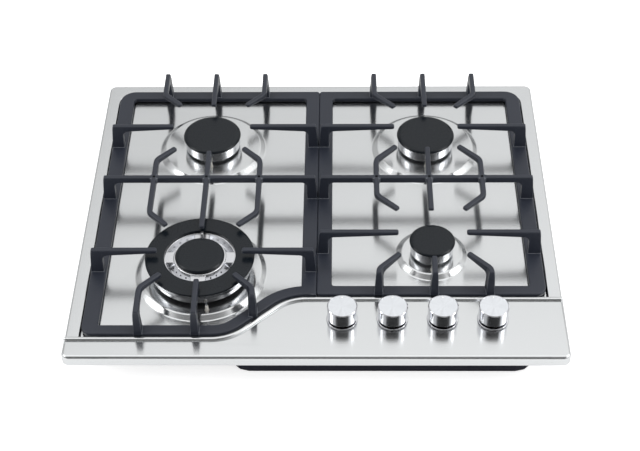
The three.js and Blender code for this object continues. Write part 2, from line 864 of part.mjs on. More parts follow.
function makeGrate(side) {
  const rear = side < 0 ? burners.rear_left : burners.rear_right;
  const front = side < 0 ? burners.front_left : burners.front_right;
  const frame = cut(
    stacked((inset) => grateOutline(side, inset), [
      { inset: 0, z: frameBottomZ },
      { inset: 0, z: frameTopZ - frameEdge },
      { inset: frameEdge, z: frameTopZ },
    ]),
    stacked((inset) => grateOpening(side, inset), [
      { inset: 0, z: frameBottomZ - 1 },
      { inset: 0, z: frameTopZ - frameEdge },
      { inset: -frameEdge, z: frameTopZ + 0.1 },
    ]));
  const low = side < 0 ? -grateOuterX : grateInnerX;
  const high = side < 0 ? -grateInnerX : grateOuterX;
  const leftBar = side < 0 ? sideBar : innerBar;
  const rightBar = side < 0 ? innerBar : sideBar;
  const frontEdge = (x) => sweepY(x, beadRadius + grateBeadClearance);
  const slant = (burner) => burner.tips.diagonal;
  const bend = (burner) => octagonHalf - slant(burner);

  const sideFingers = [rear, front].flatMap((burner) => [
    finger([low, burner.y], leftBar, [[burner.x - burner.tips.side, burner.y]]),
    finger([high, burner.y], rightBar, [[burner.x + burner.tips.side, burner.y]]),
  ]);
  const rearFingers = [-1, 0, 1].map((turn) => {
    const x = rear.x + turn * octagonHalf;
    const way = turn === 0
      ? [[x, rear.y + rear.tips.rear]]
      : [
        [x, rear.y + octagonHalf],
        [rear.x + turn * slant(rear), rear.y + octagonHalf - bend(rear)],
      ];
    return finger([x, grateRearY], rearBar, way);
  });
  const frontFingers = [-1, 0, 1].map((turn) => {
    const x = front.x + turn * octagonHalf;
    const way = turn === 0
      ? [[x, front.y - front.tips.front]]
      : [
        [x, front.y - octagonHalf + 4],
        [front.x + turn * slant(front), front.y - octagonHalf + 4 + bend(front)],
      ];
    return finger([x, frontEdge(x)], frontBar, way);
  });
  const crossings = [-1, 0, 1].map((turn) => {
    const x = rear.x + turn * octagonHalf;
    if (turn === 0) {
      return freeBar([
        [x, rear.y - rear.tips.front], [x, crossBarY], [x, front.y + front.tips.rear]]);
    }
    return freeBar([
      [rear.x + turn * slant(rear), rear.y - octagonHalf + bend(rear)],
      [x, rear.y - octagonHalf],
      [x, crossBarY],
      [x, front.y + octagonHalf],
      [front.x + turn * slant(front), front.y + octagonHalf - bend(front)],
    ]);
  });
  const foot = (x, y) => rod(
    new THREE.Vector3(x, y, frameBottomZ - grateFootHeight),
    new THREE.Vector3(x, y, frameBottomZ + 1), grateFootRadius, 6);
  const feet = [
    [low + leftBar / 2, grateRearY - outerCorner],
    [high - rightBar / 2, grateRearY - outerCorner],
    [low + leftBar / 2, frontEdge(low) + outerCorner],
    [high - rightBar / 2, frontEdge(high) + outerCorner],
  ].map(([x, y]) => foot(x, y));
  return join(
    frame, ...feet, ...sideFingers, ...rearFingers, ...frontFingers, ...crossings,
    crossBar(low, high, leftBar, rightBar));
}

// ---------------------------------------------------------------------------------------------------
// Burners, in their own frame: the pad's top is at Z 0
// ---------------------------------------------------------------------------------------------------

const nestSides = 12;
const boreSides = 8;
const gasBelowPad = gasLevel - padZ;

function neckRadius(burner) {
  return burner.holeRadius - 2 * seatGap;
}

// The cup under the plate: it hangs by its flange, catches the gas pipe and points the injector up.
function makeCup(burner) {
  const neck = neckRadius(burner);
  const inside = neck - cupWall;
  const plateUnder = -sheet - seatGap;
  const bowl = turned([
    [0, cupWall - cupDepth],
    [inside, cupWall - cupDepth],
    [inside, cupLip],
    [neck, cupLip],
    [neck, plateUnder],
    [neck + cupFlange, plateUnder],
    [neck + cupFlange, plateUnder - cupWall],
    [neck, plateUnder - 2 * cupWall],
    [neck, -cupDepth],
    [0, -cupDepth],
  ], nestSides);
  const along = new THREE.Vector3(Math.cos(burner.inletAngle), Math.sin(burner.inletAngle), 0);
  const level = new THREE.Vector3(0, 0, gasBelowPad);
  const reach = (distance) => level.clone().addScaledVector(along, distance);
  const boss = rod(reach(inside + cupWall / 2), reach(neck + bossLength), bossRadius, 6);
  const arm = rod(reach(0), reach(neck), injectorRadius, 6);
  const injector = turned([
    [0, headFoot - venturiLength - 2],
    [injectorRadius / 2, headFoot - venturiLength - 2],
    [injectorRadius, headFoot - venturiLength - 4],
    [injectorRadius, -cupDepth + cupWall / 2],
    [0, -cupDepth + cupWall / 2],
  ], 6);
  return join(bowl, boss, arm, injector);
}

// Fits a head with what every head has: a spigot that drops into the cup's neck, and the venturi tube
// that stands over the injector and opens above the head's floor.
function withNeck(head, burner, tubeTop) {
  const neck = neckRadius(burner);
  const spigot = neck - cupWall - seatGap;
  const seat = cupLip + seatGap;
  const ring = turned([
    [0, headFoot + 1],
    [neck, headFoot + 1],
    [neck, seat],
    [spigot, seat],
    [spigot, seat - 3],
    [0, seat - 3],
  ], nestSides);
  const at = (z) => new THREE.Vector3(0, 0, z);
  const foot = headFoot - venturiLength;
  const tube = rod(at(foot), at(tubeTop), venturiBore + venturiWall, boreSides);
  const bore = rod(at(foot - 1), at(tubeTop + 1), venturiBore, boreSides);
  return cut(join(head, ring, tube), bore);
}

// Slots around a rim, cut down from the given level.
function slots(count, radius, wall, top, height) {
  const low = new THREE.Vector3(radius - wall * 1.5, -portWidth / 2, top - height);
  const high = new THREE.Vector3(radius + wall, portWidth / 2, top + 1);
  return Array.from({ length: count }, (_, i) => block(low, high, ((i + 0.5) * 2 * Math.PI) / count));
}

function makeHead(burner) {
  const radius = burner.capRadius - capOverhang;
  const floor = headFoot + headWall;
  const bowl = turned([
    [0, floor],
    [radius - headWall, floor],
    [radius - headWall, headHeight],
    [radius, headHeight],
    [radius, headFoot],
    [0, headFoot],
  ], 24);
  const body = withNeck(bowl, burner, floor + 2);
  return cut(body, ...slots(burner.ports, radius, headWall, headHeight, portHeight));
}

// A flat enamelled cap with an eased edge and a spigot that drops inside its head.
function cap(radius, bottom, lipRadius) {
  const top = bottom + capThickness;
  const plate = turned([
    [0, top],
    [radius - 1.8, top],
    [radius, top - 1.4],
    [radius - 0.4, bottom],
    [0, bottom],
  ], 28);
  const spigot = rod(
    new THREE.Vector3(0, 0, bottom - capLip), new THREE.Vector3(0, 0, bottom + 1), lipRadius, 10);
  return join(plate, spigot);
}

function makeCap(burner) {
  const lip = burner.capRadius - capOverhang - headWall - 2 * seatGap;
  return cap(burner.capRadius, headHeight + seatGap, lip);
}

// The triple-crown casting: the inner crown, the trough with four bridges, and the outer crown.
const innerCrownTop = crownHeight + innerCrownRise;
const outerCrownRadius = ringCapOuter - 2.3;

function makeCrown(burner) {
  const tier = outerCrownRadius - tierStep;
  const tierTop = crownHeight - upperTierHeight;
  const channelFloor = crownFoot + crownFloor;
  const rimInner = innerCrownRadius - headWall - 0.5;
  const troughRadius = innerCrownRadius + 5;
  const casting = turned([
    [0, channelFloor + 1],
    [rimInner, channelFloor + 1],
    [rimInner, innerCrownTop],
    [innerCrownRadius, innerCrownTop - 0.5],
    [troughRadius + 0.7, troughFloor],
    [ringCapInner - 1.6, crownHeight],
    [ringCapInner + 2.4, crownHeight],
    [ringCapInner + 2.4, channelFloor],
    [tier - 4, channelFloor],
    [tier - 4, tierTop + 1.5],
    [tier, crownHeight],
    [outerCrownRadius, crownHeight],
    [outerCrownRadius, tierTop],
    [tier - 1.5, tierTop],
    [tier, tierTop - tierGroove],
    [tier, crownFoot],
    [troughRadius, crownFoot],
    [neckRadius(burner) + 3, headFoot],
    [0, headFoot],
  ], 28);
  const body = withNeck(casting, burner, channelFloor + 3);
  const bridges = Array.from({ length: 4 }, (_, i) => block(
    new THREE.Vector3(rimInner + 1, -bridgeWidth / 2, troughFloor - 1),
    new THREE.Vector3(ringCapInner - 1, bridgeWidth / 2, crownHeight),
    (i * Math.PI) / 2));
  const rib = block(
    new THREE.Vector3(-bridgeRib / 2, troughRadius, crownHeight - 1),
    new THREE.Vector3(bridgeRib / 2, ringCapInner - 2, crownHeight + bridgeRibRise));
  const portLevel = (troughFloor + innerCrownTop) / 2 + 2;
  const crownPorts = Array.from({ length: 16 }, (_, i) => {
    const degrees = Math.floor(i / 4) * 90 + 45 + ((i % 4) - 1.5) * 13;
    const outward = new THREE.Vector3(1, 0, 0).applyAxisAngle(
      new THREE.Vector3(0, 0, 1), THREE.MathUtils.degToRad(degrees));
    const at = (radius) => outward.clone().multiplyScalar(radius).setZ(portLevel + 1);
    return rod(at(rimInner + 1), at(troughRadius + 1), crownPortRadius, 4);
  });
  return cut(
    join(body, ...bridges, rib), ...crownPorts,
    ...slots(burner.ports, outerCrownRadius, tierStep, crownHeight, portHeight));
}

// The ring cap lies on the outer crown. Three pegs under it drop into the crown's channel.
function makeRingCap() {
  const bottom = crownHeight + seatGap;
  const top = bottom + ringCapThickness;
  const ring = turned([
    [ringCapInner, bottom],
    [ringCapInner, top],
    [ringCapOuter - 1.4, top],
    [ringCapOuter, top - 1],
    [ringCapOuter, bottom],
  ], 32);
  const pegs = [0, 1, 2].map((i) => {
    const angle = Math.PI / 2 + (i * 2 * Math.PI) / 3;
    const reach = ringCapInner + 2.4 + pegRadius + seatGap;
    const at = (z) => new THREE.Vector3(reach * Math.cos(angle), reach * Math.sin(angle), z);
    return rod(at(bottom - pegLength), at(bottom + 1), pegRadius, 6);
  });
  return join(ring, ...pegs);
}

function makeCentreCap(burner) {
  const lip = innerCrownRadius - headWall - 0.5 - 2 * seatGap;
  return cap(burner.capRadius, innerCrownTop + seatGap, lip);
}

function makeElectrode() {
  const collar = electrodeRadius + 1.2;
  const plateUnder = -sheet - seatGap;
  return turned([
    [0, electrodeHeight],
    [electrodeTip, electrodeHeight],
    [electrodeTip, electrodeHeight - 4],
    [electrodeRadius, electrodeHeight - 5],
    [electrodeRadius, plateUnder],
    [collar, plateUnder],
    [collar, plateUnder - 3],
    [electrodeRadius, plateUnder - 3],
    [electrodeRadius, -14],
    [electrodeTip, -14],
    [electrodeTip, -20],
    [0, -20],
  ], 6);
}

// ---------------------------------------------------------------------------------------------------
// Knobs and valves, in their own frame: the deck's top is at Z 0
// ---------------------------------------------------------------------------------------------------

const deckUnder = -sheet - seatGap;
const valveBottom = deckUnder - valveHeight;
const boreFloor = valveBottom + valveFloor;
const boreTop = deckUnder - valveLip;
const plugBottom = boreFloor + seatGap;
const plugTop = plugBottom + plugHeight;
const collarTop = boreTop - seatGap;
const collarBottom = collarTop - collarThickness;
const knobTop = knobLift + knobHeight;
const spindleTop = knobTop - knobWall - knobHubRadius + 1.2;
const spindleBottom = spindleTop - spindleLength;
const gasBelowDeck = gasLevel - deckZ;
const knobPlaces = Array.from({ length: knobCount }, (_, i) => knobFirstX + knobPitch * i);

// A spun knob, hollow underneath, with a hub that fits the flatted spindle.
function makeKnob() {
  const socket = spindleRadius + seatGap;
  const ceiling = knobTop - knobWall - 2.5;
  const shell = turned([
    [0, ceiling],
    [knobRadius - knobWall, ceiling],
    [knobRadius - knobWall, knobLift],
    [knobRadius, knobLift],
    [knobRadius, knobTop - 0.7],
    [knobRadius - 0.7, knobTop],
    [0, knobTop],
  ], 24);
  const at = (z) => new THREE.Vector3(0, 0, z);
  const hub = rod(at(knobLift + 1.5), at(ceiling + 1), knobHubRadius, 6);
  const bore = rod(at(knobLift), at(spindleTop + seatGap), socket, 8);
  const key = block(
    new THREE.Vector3(-socket, spindleFlat + seatGap, knobLift + 1.5),
    new THREE.Vector3(socket, socket + 1, spindleTop + 1));
  const mark = rod(
    new THREE.Vector3(0, knobRadius - knobMarkInset, knobTop - 0.5),
    new THREE.Vector3(0, knobRadius - knobMarkInset, knobTop + 1), knobMarkRadius, 6);
  return cut(join(cut(join(shell, hub), bore), key), mark);
}

function makeBezel() {
  return turned([
    [bezelBore, seatGap],
    [bezelBore, seatGap + bezelHeight],
    [bezelRadius - 1, seatGap + bezelHeight],
    [bezelRadius, seatGap],
  ], 18);
}

function makeSpindle() {
  const shaft = turned([
    [0, spindleBottom],
    [spindleRadius, spindleBottom],
    [spindleRadius, collarBottom],
    [collarRadius, collarBottom],
    [collarRadius, collarTop],
    [spindleRadius, collarTop],
    [spindleRadius, spindleTop],
    [0, spindleTop],
  ], 8);
  const flat = block(
    new THREE.Vector3(-spindleRadius, spindleFlat, knobLift),
    new THREE.Vector3(spindleRadius, 2 * spindleRadius, spindleTop + 1));
  return cut(shaft, flat);
}

function makePlug() {
  const bore = spindleRadius + seatGap;
  return turned([
    [0, plugBottom],
    [plugRadius, plugBottom],
    [plugRadius, plugTop],
    [bore, plugTop],
    [bore, plugTop - plugBoreDepth],
    [0, plugTop - plugBoreDepth],
  ], 8);
}

// The return spring, a coil between the plug and the spindle's collar.
function makeSpring() {
  const wire = springWire / 2;
  const low = plugTop + seatGap + wire;
  const high = collarBottom - seatGap - wire;
  const steps = springTurns * 6;
  const rings = Array.from({ length: steps + 1 }, (_, k) => {
    const turn = (k / steps) * springTurns * 2 * Math.PI;
    const z = low + (k / steps) * (high - low);
    return Array.from({ length: 4 }, (_, i) => {
      const angle = (i / 4) * 2 * Math.PI;
      const radius = springRadius + wire * Math.cos(angle);
      return new THREE.Vector3(
        radius * Math.cos(turn), radius * Math.sin(turn), z + wire * Math.sin(angle));
    });
  });
  const faces = [[0, 1, 2], [0, 2, 3]];
  return lofted(rings, faces, faces);
}

// The brass valve: a bored body, a boss that meets the gas rail and an outlet for the burner's pipe.
function makeValve() {
  const bore = plugRadius + 0.5;
  const body = turned([
    [0, valveBottom],
    [valveRadius, valveBottom],
    [valveRadius, deckUnder],
    [spindleRadius + 0.5, deckUnder],
    [spindleRadius + 0.5, boreTop],
    [bore, boreTop],
    [bore, boreFloor],
    [0, boreFloor],
  ], 10);
  const at = (y) => new THREE.Vector3(0, y, gasBelowDeck);
  const inner = (bore + valveRadius) / 2;
  const inlet = rod(at(-inner), at(railRadius + seatGap - railFromKnobs), bossRadius, 6);
  const outlet = rod(at(inner), at(outletReach), bossRadius, 6);
  return join(body, inlet, outlet);
}

// ---------------------------------------------------------------------------------------------------
// Gas train and ignition
// ---------------------------------------------------------------------------------------------------

const unionStartY = pocketY - inletSpigotLength;

function makeRail() {
  return pipe([
    [knobFirstX - valveRadius - 5, railY],
    [inletX, railY],
    [inletX, unionStartY - seatGap],
  ], gasLevel, railRadius, railBend, 12);
}

// The gas inlet: a spigot through the pocket's wall, a hexagon outside it and a male thread.
function makeUnion() {
  const at = (y) => new THREE.Vector3(inletX, y, gasLevel);
  const hexStart = pocketY + seatGap;
  const threadStart = hexStart + inletHexLength;
  const threadEnd = threadStart + inletThreadLength;
  const inner = rod(at(unionStartY), at(pocketY - sheet - seatGap), inletThreadRadius, 12);
  const spigot = rod(at(unionStartY + 1), at(hexStart + 1), inletSpigotRadius, 12);
  const hexagon = rod(at(hexStart), at(threadStart), inletHexRadius, 6);
  const pitch = inletThreadLength / 4;
  const thread = rod(at(threadStart - 1), at(threadEnd), inletThreadRadius - 0.9, 10);
  const ridges = Array.from({ length: 3 }, (_, i) => rod(
    at(threadStart + (i + 1) * pitch), at(threadStart + (i + 1.5) * pitch), inletThreadRadius, 10));
  const bore = rod(at(unionStartY + 4), at(threadEnd + 1), inletBore, 12);
  return cut(join(inner, spigot, hexagon, thread, ...ridges), bore);
}

// The mains gland in the same wall: a nut inside, a domed grip outside and a bore for the cord.
function makeGland() {
  const x = inletX - glandFromInlet;
  const at = (y) => new THREE.Vector3(x, y, gasLevel);
  const nut = rod(at(pocketY - sheet - seatGap - 4), at(pocketY - sheet - seatGap), glandRadius, 6);
  const stem = rod(at(pocketY - 4), at(pocketY + 2), glandRadius * 0.7, 12);
  const grip = rod(at(pocketY + seatGap), at(pocketY + 8), glandRadius, 6);
  const dome = rod(at(pocketY + 7), at(pocketY + 13), glandRadius * 0.75, 12);
  const bore = rod(at(pocketY - 10), at(pocketY + 20), glandBore, 10);
  return cut(join(nut, stem, grip, dome), bore);
}

// The spark module stands on the tray's floor: a potted box with fixing ears and lead terminals.
function makeModule() {
  const floor = sheet + seatGap;
  const half = moduleSize.clone().multiplyScalar(0.5);
  const { x, y } = modulePlace;
  const box = block(
    new THREE.Vector3(x - half.x, y - half.y, floor),
    new THREE.Vector3(x + half.x, y + half.y, floor + moduleSize.z));
  const ears = block(
    new THREE.Vector3(x - half.x - 10, y - 8, floor),
    new THREE.Vector3(x + half.x + 10, y + 8, floor + 3));
  const pitch = moduleSize.x / moduleTerminals;
  const terminals = Array.from({ length: moduleTerminals }, (_, i) => {
    const centre = x - half.x + pitch * (i + 0.5);
    return rod(
      new THREE.Vector3(centre, y + half.y / 2, floor + moduleSize.z - 1),
      new THREE.Vector3(centre, y + half.y / 2, floor + moduleSize.z + 7), 3, 8);
  });
  return join(box, ears, ...terminals);
}

// The pipes from the valves' outlets to the cups' bosses.
function gasRoutes() {
  const start = knobY + outletReach + seatGap;
  const [first, second, third, fourth] = knobPlaces;
  const bossEnd = (burner) => {
    const reach = neckRadius(burner) + bossLength + seatGap;
    const turn = burner.inletAngle;
    return [burner.x + reach * Math.cos(turn), burner.y + reach * Math.sin(turn)];
  };
  const { front_left: frontLeft, rear_left: rearLeft } = burners;
  const { front_right: frontRight, rear_right: rearRight } = burners;
  const middleX = (first + 50) / 2;
  return {
    front_left: [
      [first, start], [first, start + tubeBend], [0, frontLeft.y], bossEnd(frontLeft)],
    rear_left: [
      [second, start], [second, start + 37], [middleX, -60], [middleX, 60],
      [-20, rearLeft.y], bossEnd(rearLeft)],
    front_right: [
      [third, start], [third, start + tubeBend], [frontRight.x, start + 2 * tubeBend],
      bossEnd(frontRight)],
    rear_right: [
      [fourth, start], [fourth, rearRight.y - 29], [fourth - 7, rearRight.y],
      bossEnd(rearRight)],
  };
}

// ---------------------------------------------------------------------------------------------------
// Assembly
// ---------------------------------------------------------------------------------------------------

function piece(name, body, material, place = new THREE.Vector3()) {
  const mesh = new THREE.Mesh(geometryOf(body), material());
  mesh.name = name;
  mesh.position.copy(place);
  return mesh;
}

function group(name, place, ...children) {
  const holder = new THREE.Group();
  holder.name = name;
  holder.position.copy(place);
  holder.add(...children);
  return holder;
}

function burnerGroup(name, burner) {
  const triple = burner === burners.front_left;
  const caps = triple
    ? [
      piece(`${name}_ring_cap`, makeRingCap(), blackEnamel),
      piece(`${name}_centre_cap`, makeCentreCap(burner), blackEnamel),
    ]
    : [piece(`${name}_cap`, makeCap(burner), blackEnamel)];
  const head = triple ? makeCrown(burner) : makeHead(burner);
  const pin = electrodePlace(burner).sub(new THREE.Vector3(burner.x, burner.y, 0));
  return group(
    `${name}_burner`, new THREE.Vector3(burner.x, burner.y, padZ),
    piece(`${name}_cup`, makeCup(burner), castAluminium),
    piece(`${name}_head`, head, polishedAluminium),
    ...caps,
    piece(`${name}_electrode`, makeElectrode(), ceramic, pin));
}

function controlGroup(x, i) {
  const number = i + 1;
  return group(
    `control_${number}`, new THREE.Vector3(x, knobY, deckZ),
    piece(`knob_${number}`, makeKnob(), polishedAluminium),
    piece(`bezel_${number}`, makeBezel(), polishedAluminium),
    piece(`spindle_${number}`, makeSpindle(), zincSheet),
    piece(`spring_${number}`, makeSpring(), zincSheet),
    piece(`valve_plug_${number}`, makePlug(), brass),
    piece(`valve_${number}`, makeValve(), brass));
}

function clamps() {
  const places = [-1, 1].flatMap((side) => [-1, 1].map((end) => ({ side, end })));
  return places.map(({ side, end }, i) => {
    const clamp = piece(
      `clamp_${i + 1}`, makeClamp(), zincSheet,
      new THREE.Vector3(side * (trayHalfX + seatGap), end * (halfDepth - clampFromEdge), 0));
    if (side < 0) clamp.rotation.z = Math.PI;
    return clamp;
  });
}

const cooktop = new THREE.Group();
cooktop.name = 'gas_cooktop';
cooktop.add(
  piece('top_panel', makeTopPanel(), brushedSteel),
  piece('bottom_tray', makeTray(), darkSheet),
  piece('rim_seal', makeRimSeal(), foam),
  ...clamps(),
  piece('left_grate', makeGrate(-1), castIron),
  piece('right_grate', makeGrate(1), castIron),
  ...Object.entries(burners).map(([name, burner]) => burnerGroup(name, burner)),
  ...knobPlaces.map(controlGroup),
  piece('gas_rail', makeRail(), zincSheet),
  piece('gas_inlet', makeUnion(), brass),
  piece('mains_gland', makeGland(), blackPlastic),
  piece('ignition_module', makeModule(), blackPlastic),
  ...Object.entries(gasRoutes()).map(([name, route]) =>
    piece(`${name}_gas_pipe`, pipe(route, gasLevel, tubeRadius, tubeBend, 6), castAluminium)));

export default cooktop;
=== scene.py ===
"""Looks of a four-burner drop-in gas cooktop: brushed steel top, cast grates, machined burner heads under
enamelled caps, and spun aluminium knobs. Lengths in the shape functions are millimetres."""

from math import cos, dist, pi, radians, sin, sqrt, tan, tau

import bmesh
import bpy
from mathutils import Matrix, Vector
from mathutils.geometry import tessellate_polygon


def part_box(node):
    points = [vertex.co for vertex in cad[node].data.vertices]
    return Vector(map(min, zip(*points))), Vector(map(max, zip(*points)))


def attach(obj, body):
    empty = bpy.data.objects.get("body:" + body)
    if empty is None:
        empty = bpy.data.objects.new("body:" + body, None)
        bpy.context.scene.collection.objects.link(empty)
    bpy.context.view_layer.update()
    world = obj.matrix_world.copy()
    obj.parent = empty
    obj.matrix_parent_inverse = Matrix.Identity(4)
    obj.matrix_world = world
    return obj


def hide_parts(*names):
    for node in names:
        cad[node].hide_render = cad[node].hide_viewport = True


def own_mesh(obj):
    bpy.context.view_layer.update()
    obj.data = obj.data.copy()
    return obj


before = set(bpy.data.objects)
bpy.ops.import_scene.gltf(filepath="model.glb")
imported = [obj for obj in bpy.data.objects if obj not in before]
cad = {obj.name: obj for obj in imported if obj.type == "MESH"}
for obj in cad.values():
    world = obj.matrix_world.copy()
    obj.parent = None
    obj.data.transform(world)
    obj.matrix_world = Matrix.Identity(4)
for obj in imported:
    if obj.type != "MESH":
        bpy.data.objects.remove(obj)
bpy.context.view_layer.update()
MM = 0.001


# ------------------------------ stage

CAMERA_PLACE = (0.0298, -1.3223, 1.2883)
CAMERA_PITCH = 43.785
CAMERA_YAW = -1.156
CAMERA_ROLL = -0.838
SENSOR_WIDTH = 36
PICTURE_WIDTH = 640
FOCAL_PIXELS = 1441.2
CENTRE_PIXEL = 320.6


def linked(name, data):
    """An object in the scene."""
    made = bpy.data.objects.new(name, data)
    bpy.context.scene.collection.objects.link(made)
    return made


def place_camera():
    """The photograph's viewpoint: in front of the cooktop and well above it, with a long lens."""
    pitch, yaw, roll = (radians(angle) for angle in (CAMERA_PITCH, CAMERA_YAW, CAMERA_ROLL))
    ahead = Vector((sin(yaw) * cos(pitch), cos(yaw) * cos(pitch), -sin(pitch)))
    level = Vector((cos(yaw), -sin(yaw), 0))
    down = ahead.cross(level)
    right = level * cos(roll) - down * sin(roll)
    lower = level * sin(roll) + down * cos(roll)
    turn = Matrix((right, -lower, -ahead)).transposed()
    data = bpy.data.cameras.new("camera")
    data.sensor_width = SENSOR_WIDTH
    data.lens = SENSOR_WIDTH * FOCAL_PIXELS / PICTURE_WIDTH
    data.shift_x = (PICTURE_WIDTH / 2 - CENTRE_PIXEL) / PICTURE_WIDTH
    camera = linked("camera", data)
    camera.matrix_world = Matrix.Translation(CAMERA_PLACE) @ turn.to_4x4()
    bpy.context.scene.camera = camera


def softbox(name, place, size, power):
    """A rectangular white lamp, in metres and watts, that faces the origin."""
    data = bpy.data.lights.new(name, "AREA")
    data.shape = "RECTANGLE"
    data.size, data.size_y = size
    data.energy = power
    turn = Vector(place).to_track_quat("Z", "Y")
    linked(name, data).matrix_world = Matrix.Translation(place) @ turn.to_matrix().to_4x4()


# ------------------------------ material helpers

def colour(code):
    """A linear colour from an sRGB hex code."""
    parts = [int(code[i:i + 2], 16) / 255 for i in (1, 3, 5)]
    return [p / 12.92 if p <= 0.04045 else ((p + 0.055) / 1.055) ** 2.4 for p in parts] + [1]


def add(tree, kind, inputs=(), **settings):
    """A node with its settings, and its inputs set to values or linked to other nodes' outputs."""
    made = tree.nodes.new(kind)
    for name, value in settings.items():
        setattr(made, name, value)
    for socket, value in dict(inputs).items():
        if isinstance(value, bpy.types.NodeSocket):
            tree.links.new(value, made.inputs[socket])
        else:
            made.inputs[socket].default_value = value
    return made


def reckon(tree, operation, *values):
    """The output of a Math node."""
    return add(tree, "ShaderNodeMath", dict(enumerate(values)), operation=operation).outputs[0]


def reckon_vector(tree, operation, *vectors, **named):
    """The output of a Vector Math node: a vector, or a value where the operation gives one."""
    made = add(tree, "ShaderNodeVectorMath", dict(enumerate(vectors)) | named, operation=operation)
    return made.outputs["Value" if operation in ("LENGTH", "DOT_PRODUCT") else "Vector"]


def ranged(tree, value, low, high, start=0.0, end=1.0):
    """Low where the value is at start, high where it is at end, and a blend between them."""
    return add(tree, "ShaderNodeMapRange", {
        "Value": value, "From Min": start, "From Max": end, "To Min": low, "To Max": high}).outputs[0]


def noise(tree, place, grain_mm, detail):
    """Noise from 0 to 1, with grains of the given size on coordinates in metres."""
    scale = 1 / (grain_mm * MM)
    return add(tree, "ShaderNodeTexNoise", {"Vector": place, "Scale": scale, "Detail": detail}).outputs["Fac"]


def tinted(tree, tone, shade):
    """A tone made lighter or darker by a shade about 1."""
    return reckon_vector(tree, "SCALE", colour(tone)[:3], Scale=shade)


def rounded(tree, edge_mm):
    """A normal that turns smoothly over the edges."""
    return add(tree, "ShaderNodeBevel", {"Radius": edge_mm * MM}, samples=4).outputs[0]


def embossed(tree, height, strength, depth_mm, normal):
    """A normal with a fine relief on it."""
    return add(tree, "ShaderNodeBump", {
        "Height": height, "Strength": strength, "Distance": depth_mm * MM, "Normal": normal}).outputs[0]


def new_material(name):
    material = bpy.data.materials.new(name)
    material.use_nodes = True
    material.node_tree.nodes.clear()
    return material, material.node_tree


def surface(tree, shader):
    add(tree, "ShaderNodeOutputMaterial", {"Surface": shader.outputs[0]})


def metallic(tree, base, gloss, stretch, tangent, normal):
    """A bare metal whose reflections stretch along the tangent."""
    surface(tree, add(tree, "ShaderNodeBsdfPrincipled", {
        "Base Color": base, "Roughness": gloss, "Metallic": 1.0, "Anisotropic": stretch,
        "Tangent": tangent, "Normal": normal}))


def coated(name, tone, roughness, grain_mm, bump, sheen=0.5, coat=0.0, wear_and_highlight_tone=None, edge_mm=0.6):
    """An enamelled, painted or moulded surface: a fine grain in its gloss and relief, a slow drift in its
    tone, and, where a tone for one is given, a paler edge that is partly rubbed wear and partly a painted
    highlight."""
    material, tree = new_material(name)
    drift_mm, drift, gloss_spread = 55, 0.1, 0.06
    wear_and_highlight_from, wear_and_highlight_to, most_wear_and_highlight = 0.995, 0.88, 0.7
    place = add(tree, "ShaderNodeTexCoord").outputs["Object"]
    grain = noise(tree, place, grain_mm, 3.0)
    shade = ranged(tree, noise(tree, place, drift_mm, 2.0), 1 - drift, 1 + drift)
    base = tinted(tree, tone, shade)
    gloss = ranged(tree, grain, roughness - gloss_spread, roughness + gloss_spread)
    edges = rounded(tree, edge_mm)
    # Paler edges: partly rubbed wear, partly a painted highlight where the rounded edges would catch the
    # light.
    if wear_and_highlight_tone:
        flat = add(tree, "ShaderNodeNewGeometry").outputs["Normal"]
        turn = reckon_vector(tree, "DOT_PRODUCT", edges, flat)
        wear_and_highlight_mask = ranged(tree, turn, 0.0, most_wear_and_highlight, start=wear_and_highlight_from, end=wear_and_highlight_to)
        mix = add(tree, "ShaderNodeMix", {0: wear_and_highlight_mask, 6: base, 7: colour(wear_and_highlight_tone)}, data_type="RGBA")
        base = mix.outputs[2]
    surface(tree, add(tree, "ShaderNodeBsdfPrincipled", {
        "Base Color": base, "Roughness": gloss, "Specular IOR Level": sheen, "Coat Weight": coat,
        "Coat Roughness": 0.12, "Normal": embossed(tree, grain, bump, grain_mm * 0.3, edges)}))
    return material


def worked_metal(name, tone, roughness, line_mm, run_mm, stretch, bump, depth=1.0):
    """A brushed, rolled or machined metal: lines run_mm long and line_mm wide along X vary its tone and
    gloss as much as depth says, and reflections stretch along Y, across the lines."""
    material, tree = new_material(name)
    drift_mm, edge_mm = 120, 0.4
    darker, lighter, gloss_spread = 0.07, 0.05, 0.08
    place = add(tree, "ShaderNodeTexCoord").outputs["Object"]
    drawn = add(tree, "ShaderNodeMapping", {
        "Vector": place, "Scale": (1 / (run_mm * MM), 1 / (line_mm * MM), 1 / (line_mm * MM))})
    lines = add(tree, "ShaderNodeTexNoise", {
        "Vector": drawn.outputs[0], "Scale": 1.0, "Detail": 4.0}).outputs["Fac"]
    shade = ranged(tree, lines, 1 - darker * depth, 1 + lighter * depth)
    both = reckon(tree, "ADD", lines, noise(tree, place, drift_mm, 1.0))
    gloss = ranged(tree, both, roughness - gloss_spread * depth, roughness + gloss_spread * depth, end=2.0)
    across = add(tree, "ShaderNodeCombineXYZ", {1: 1.0}).outputs[0]
    normal = embossed(tree, lines, bump, line_mm * 0.05, rounded(tree, edge_mm))
    metallic(tree, tinted(tree, tone, shade), gloss, stretch, across, normal)
    return material


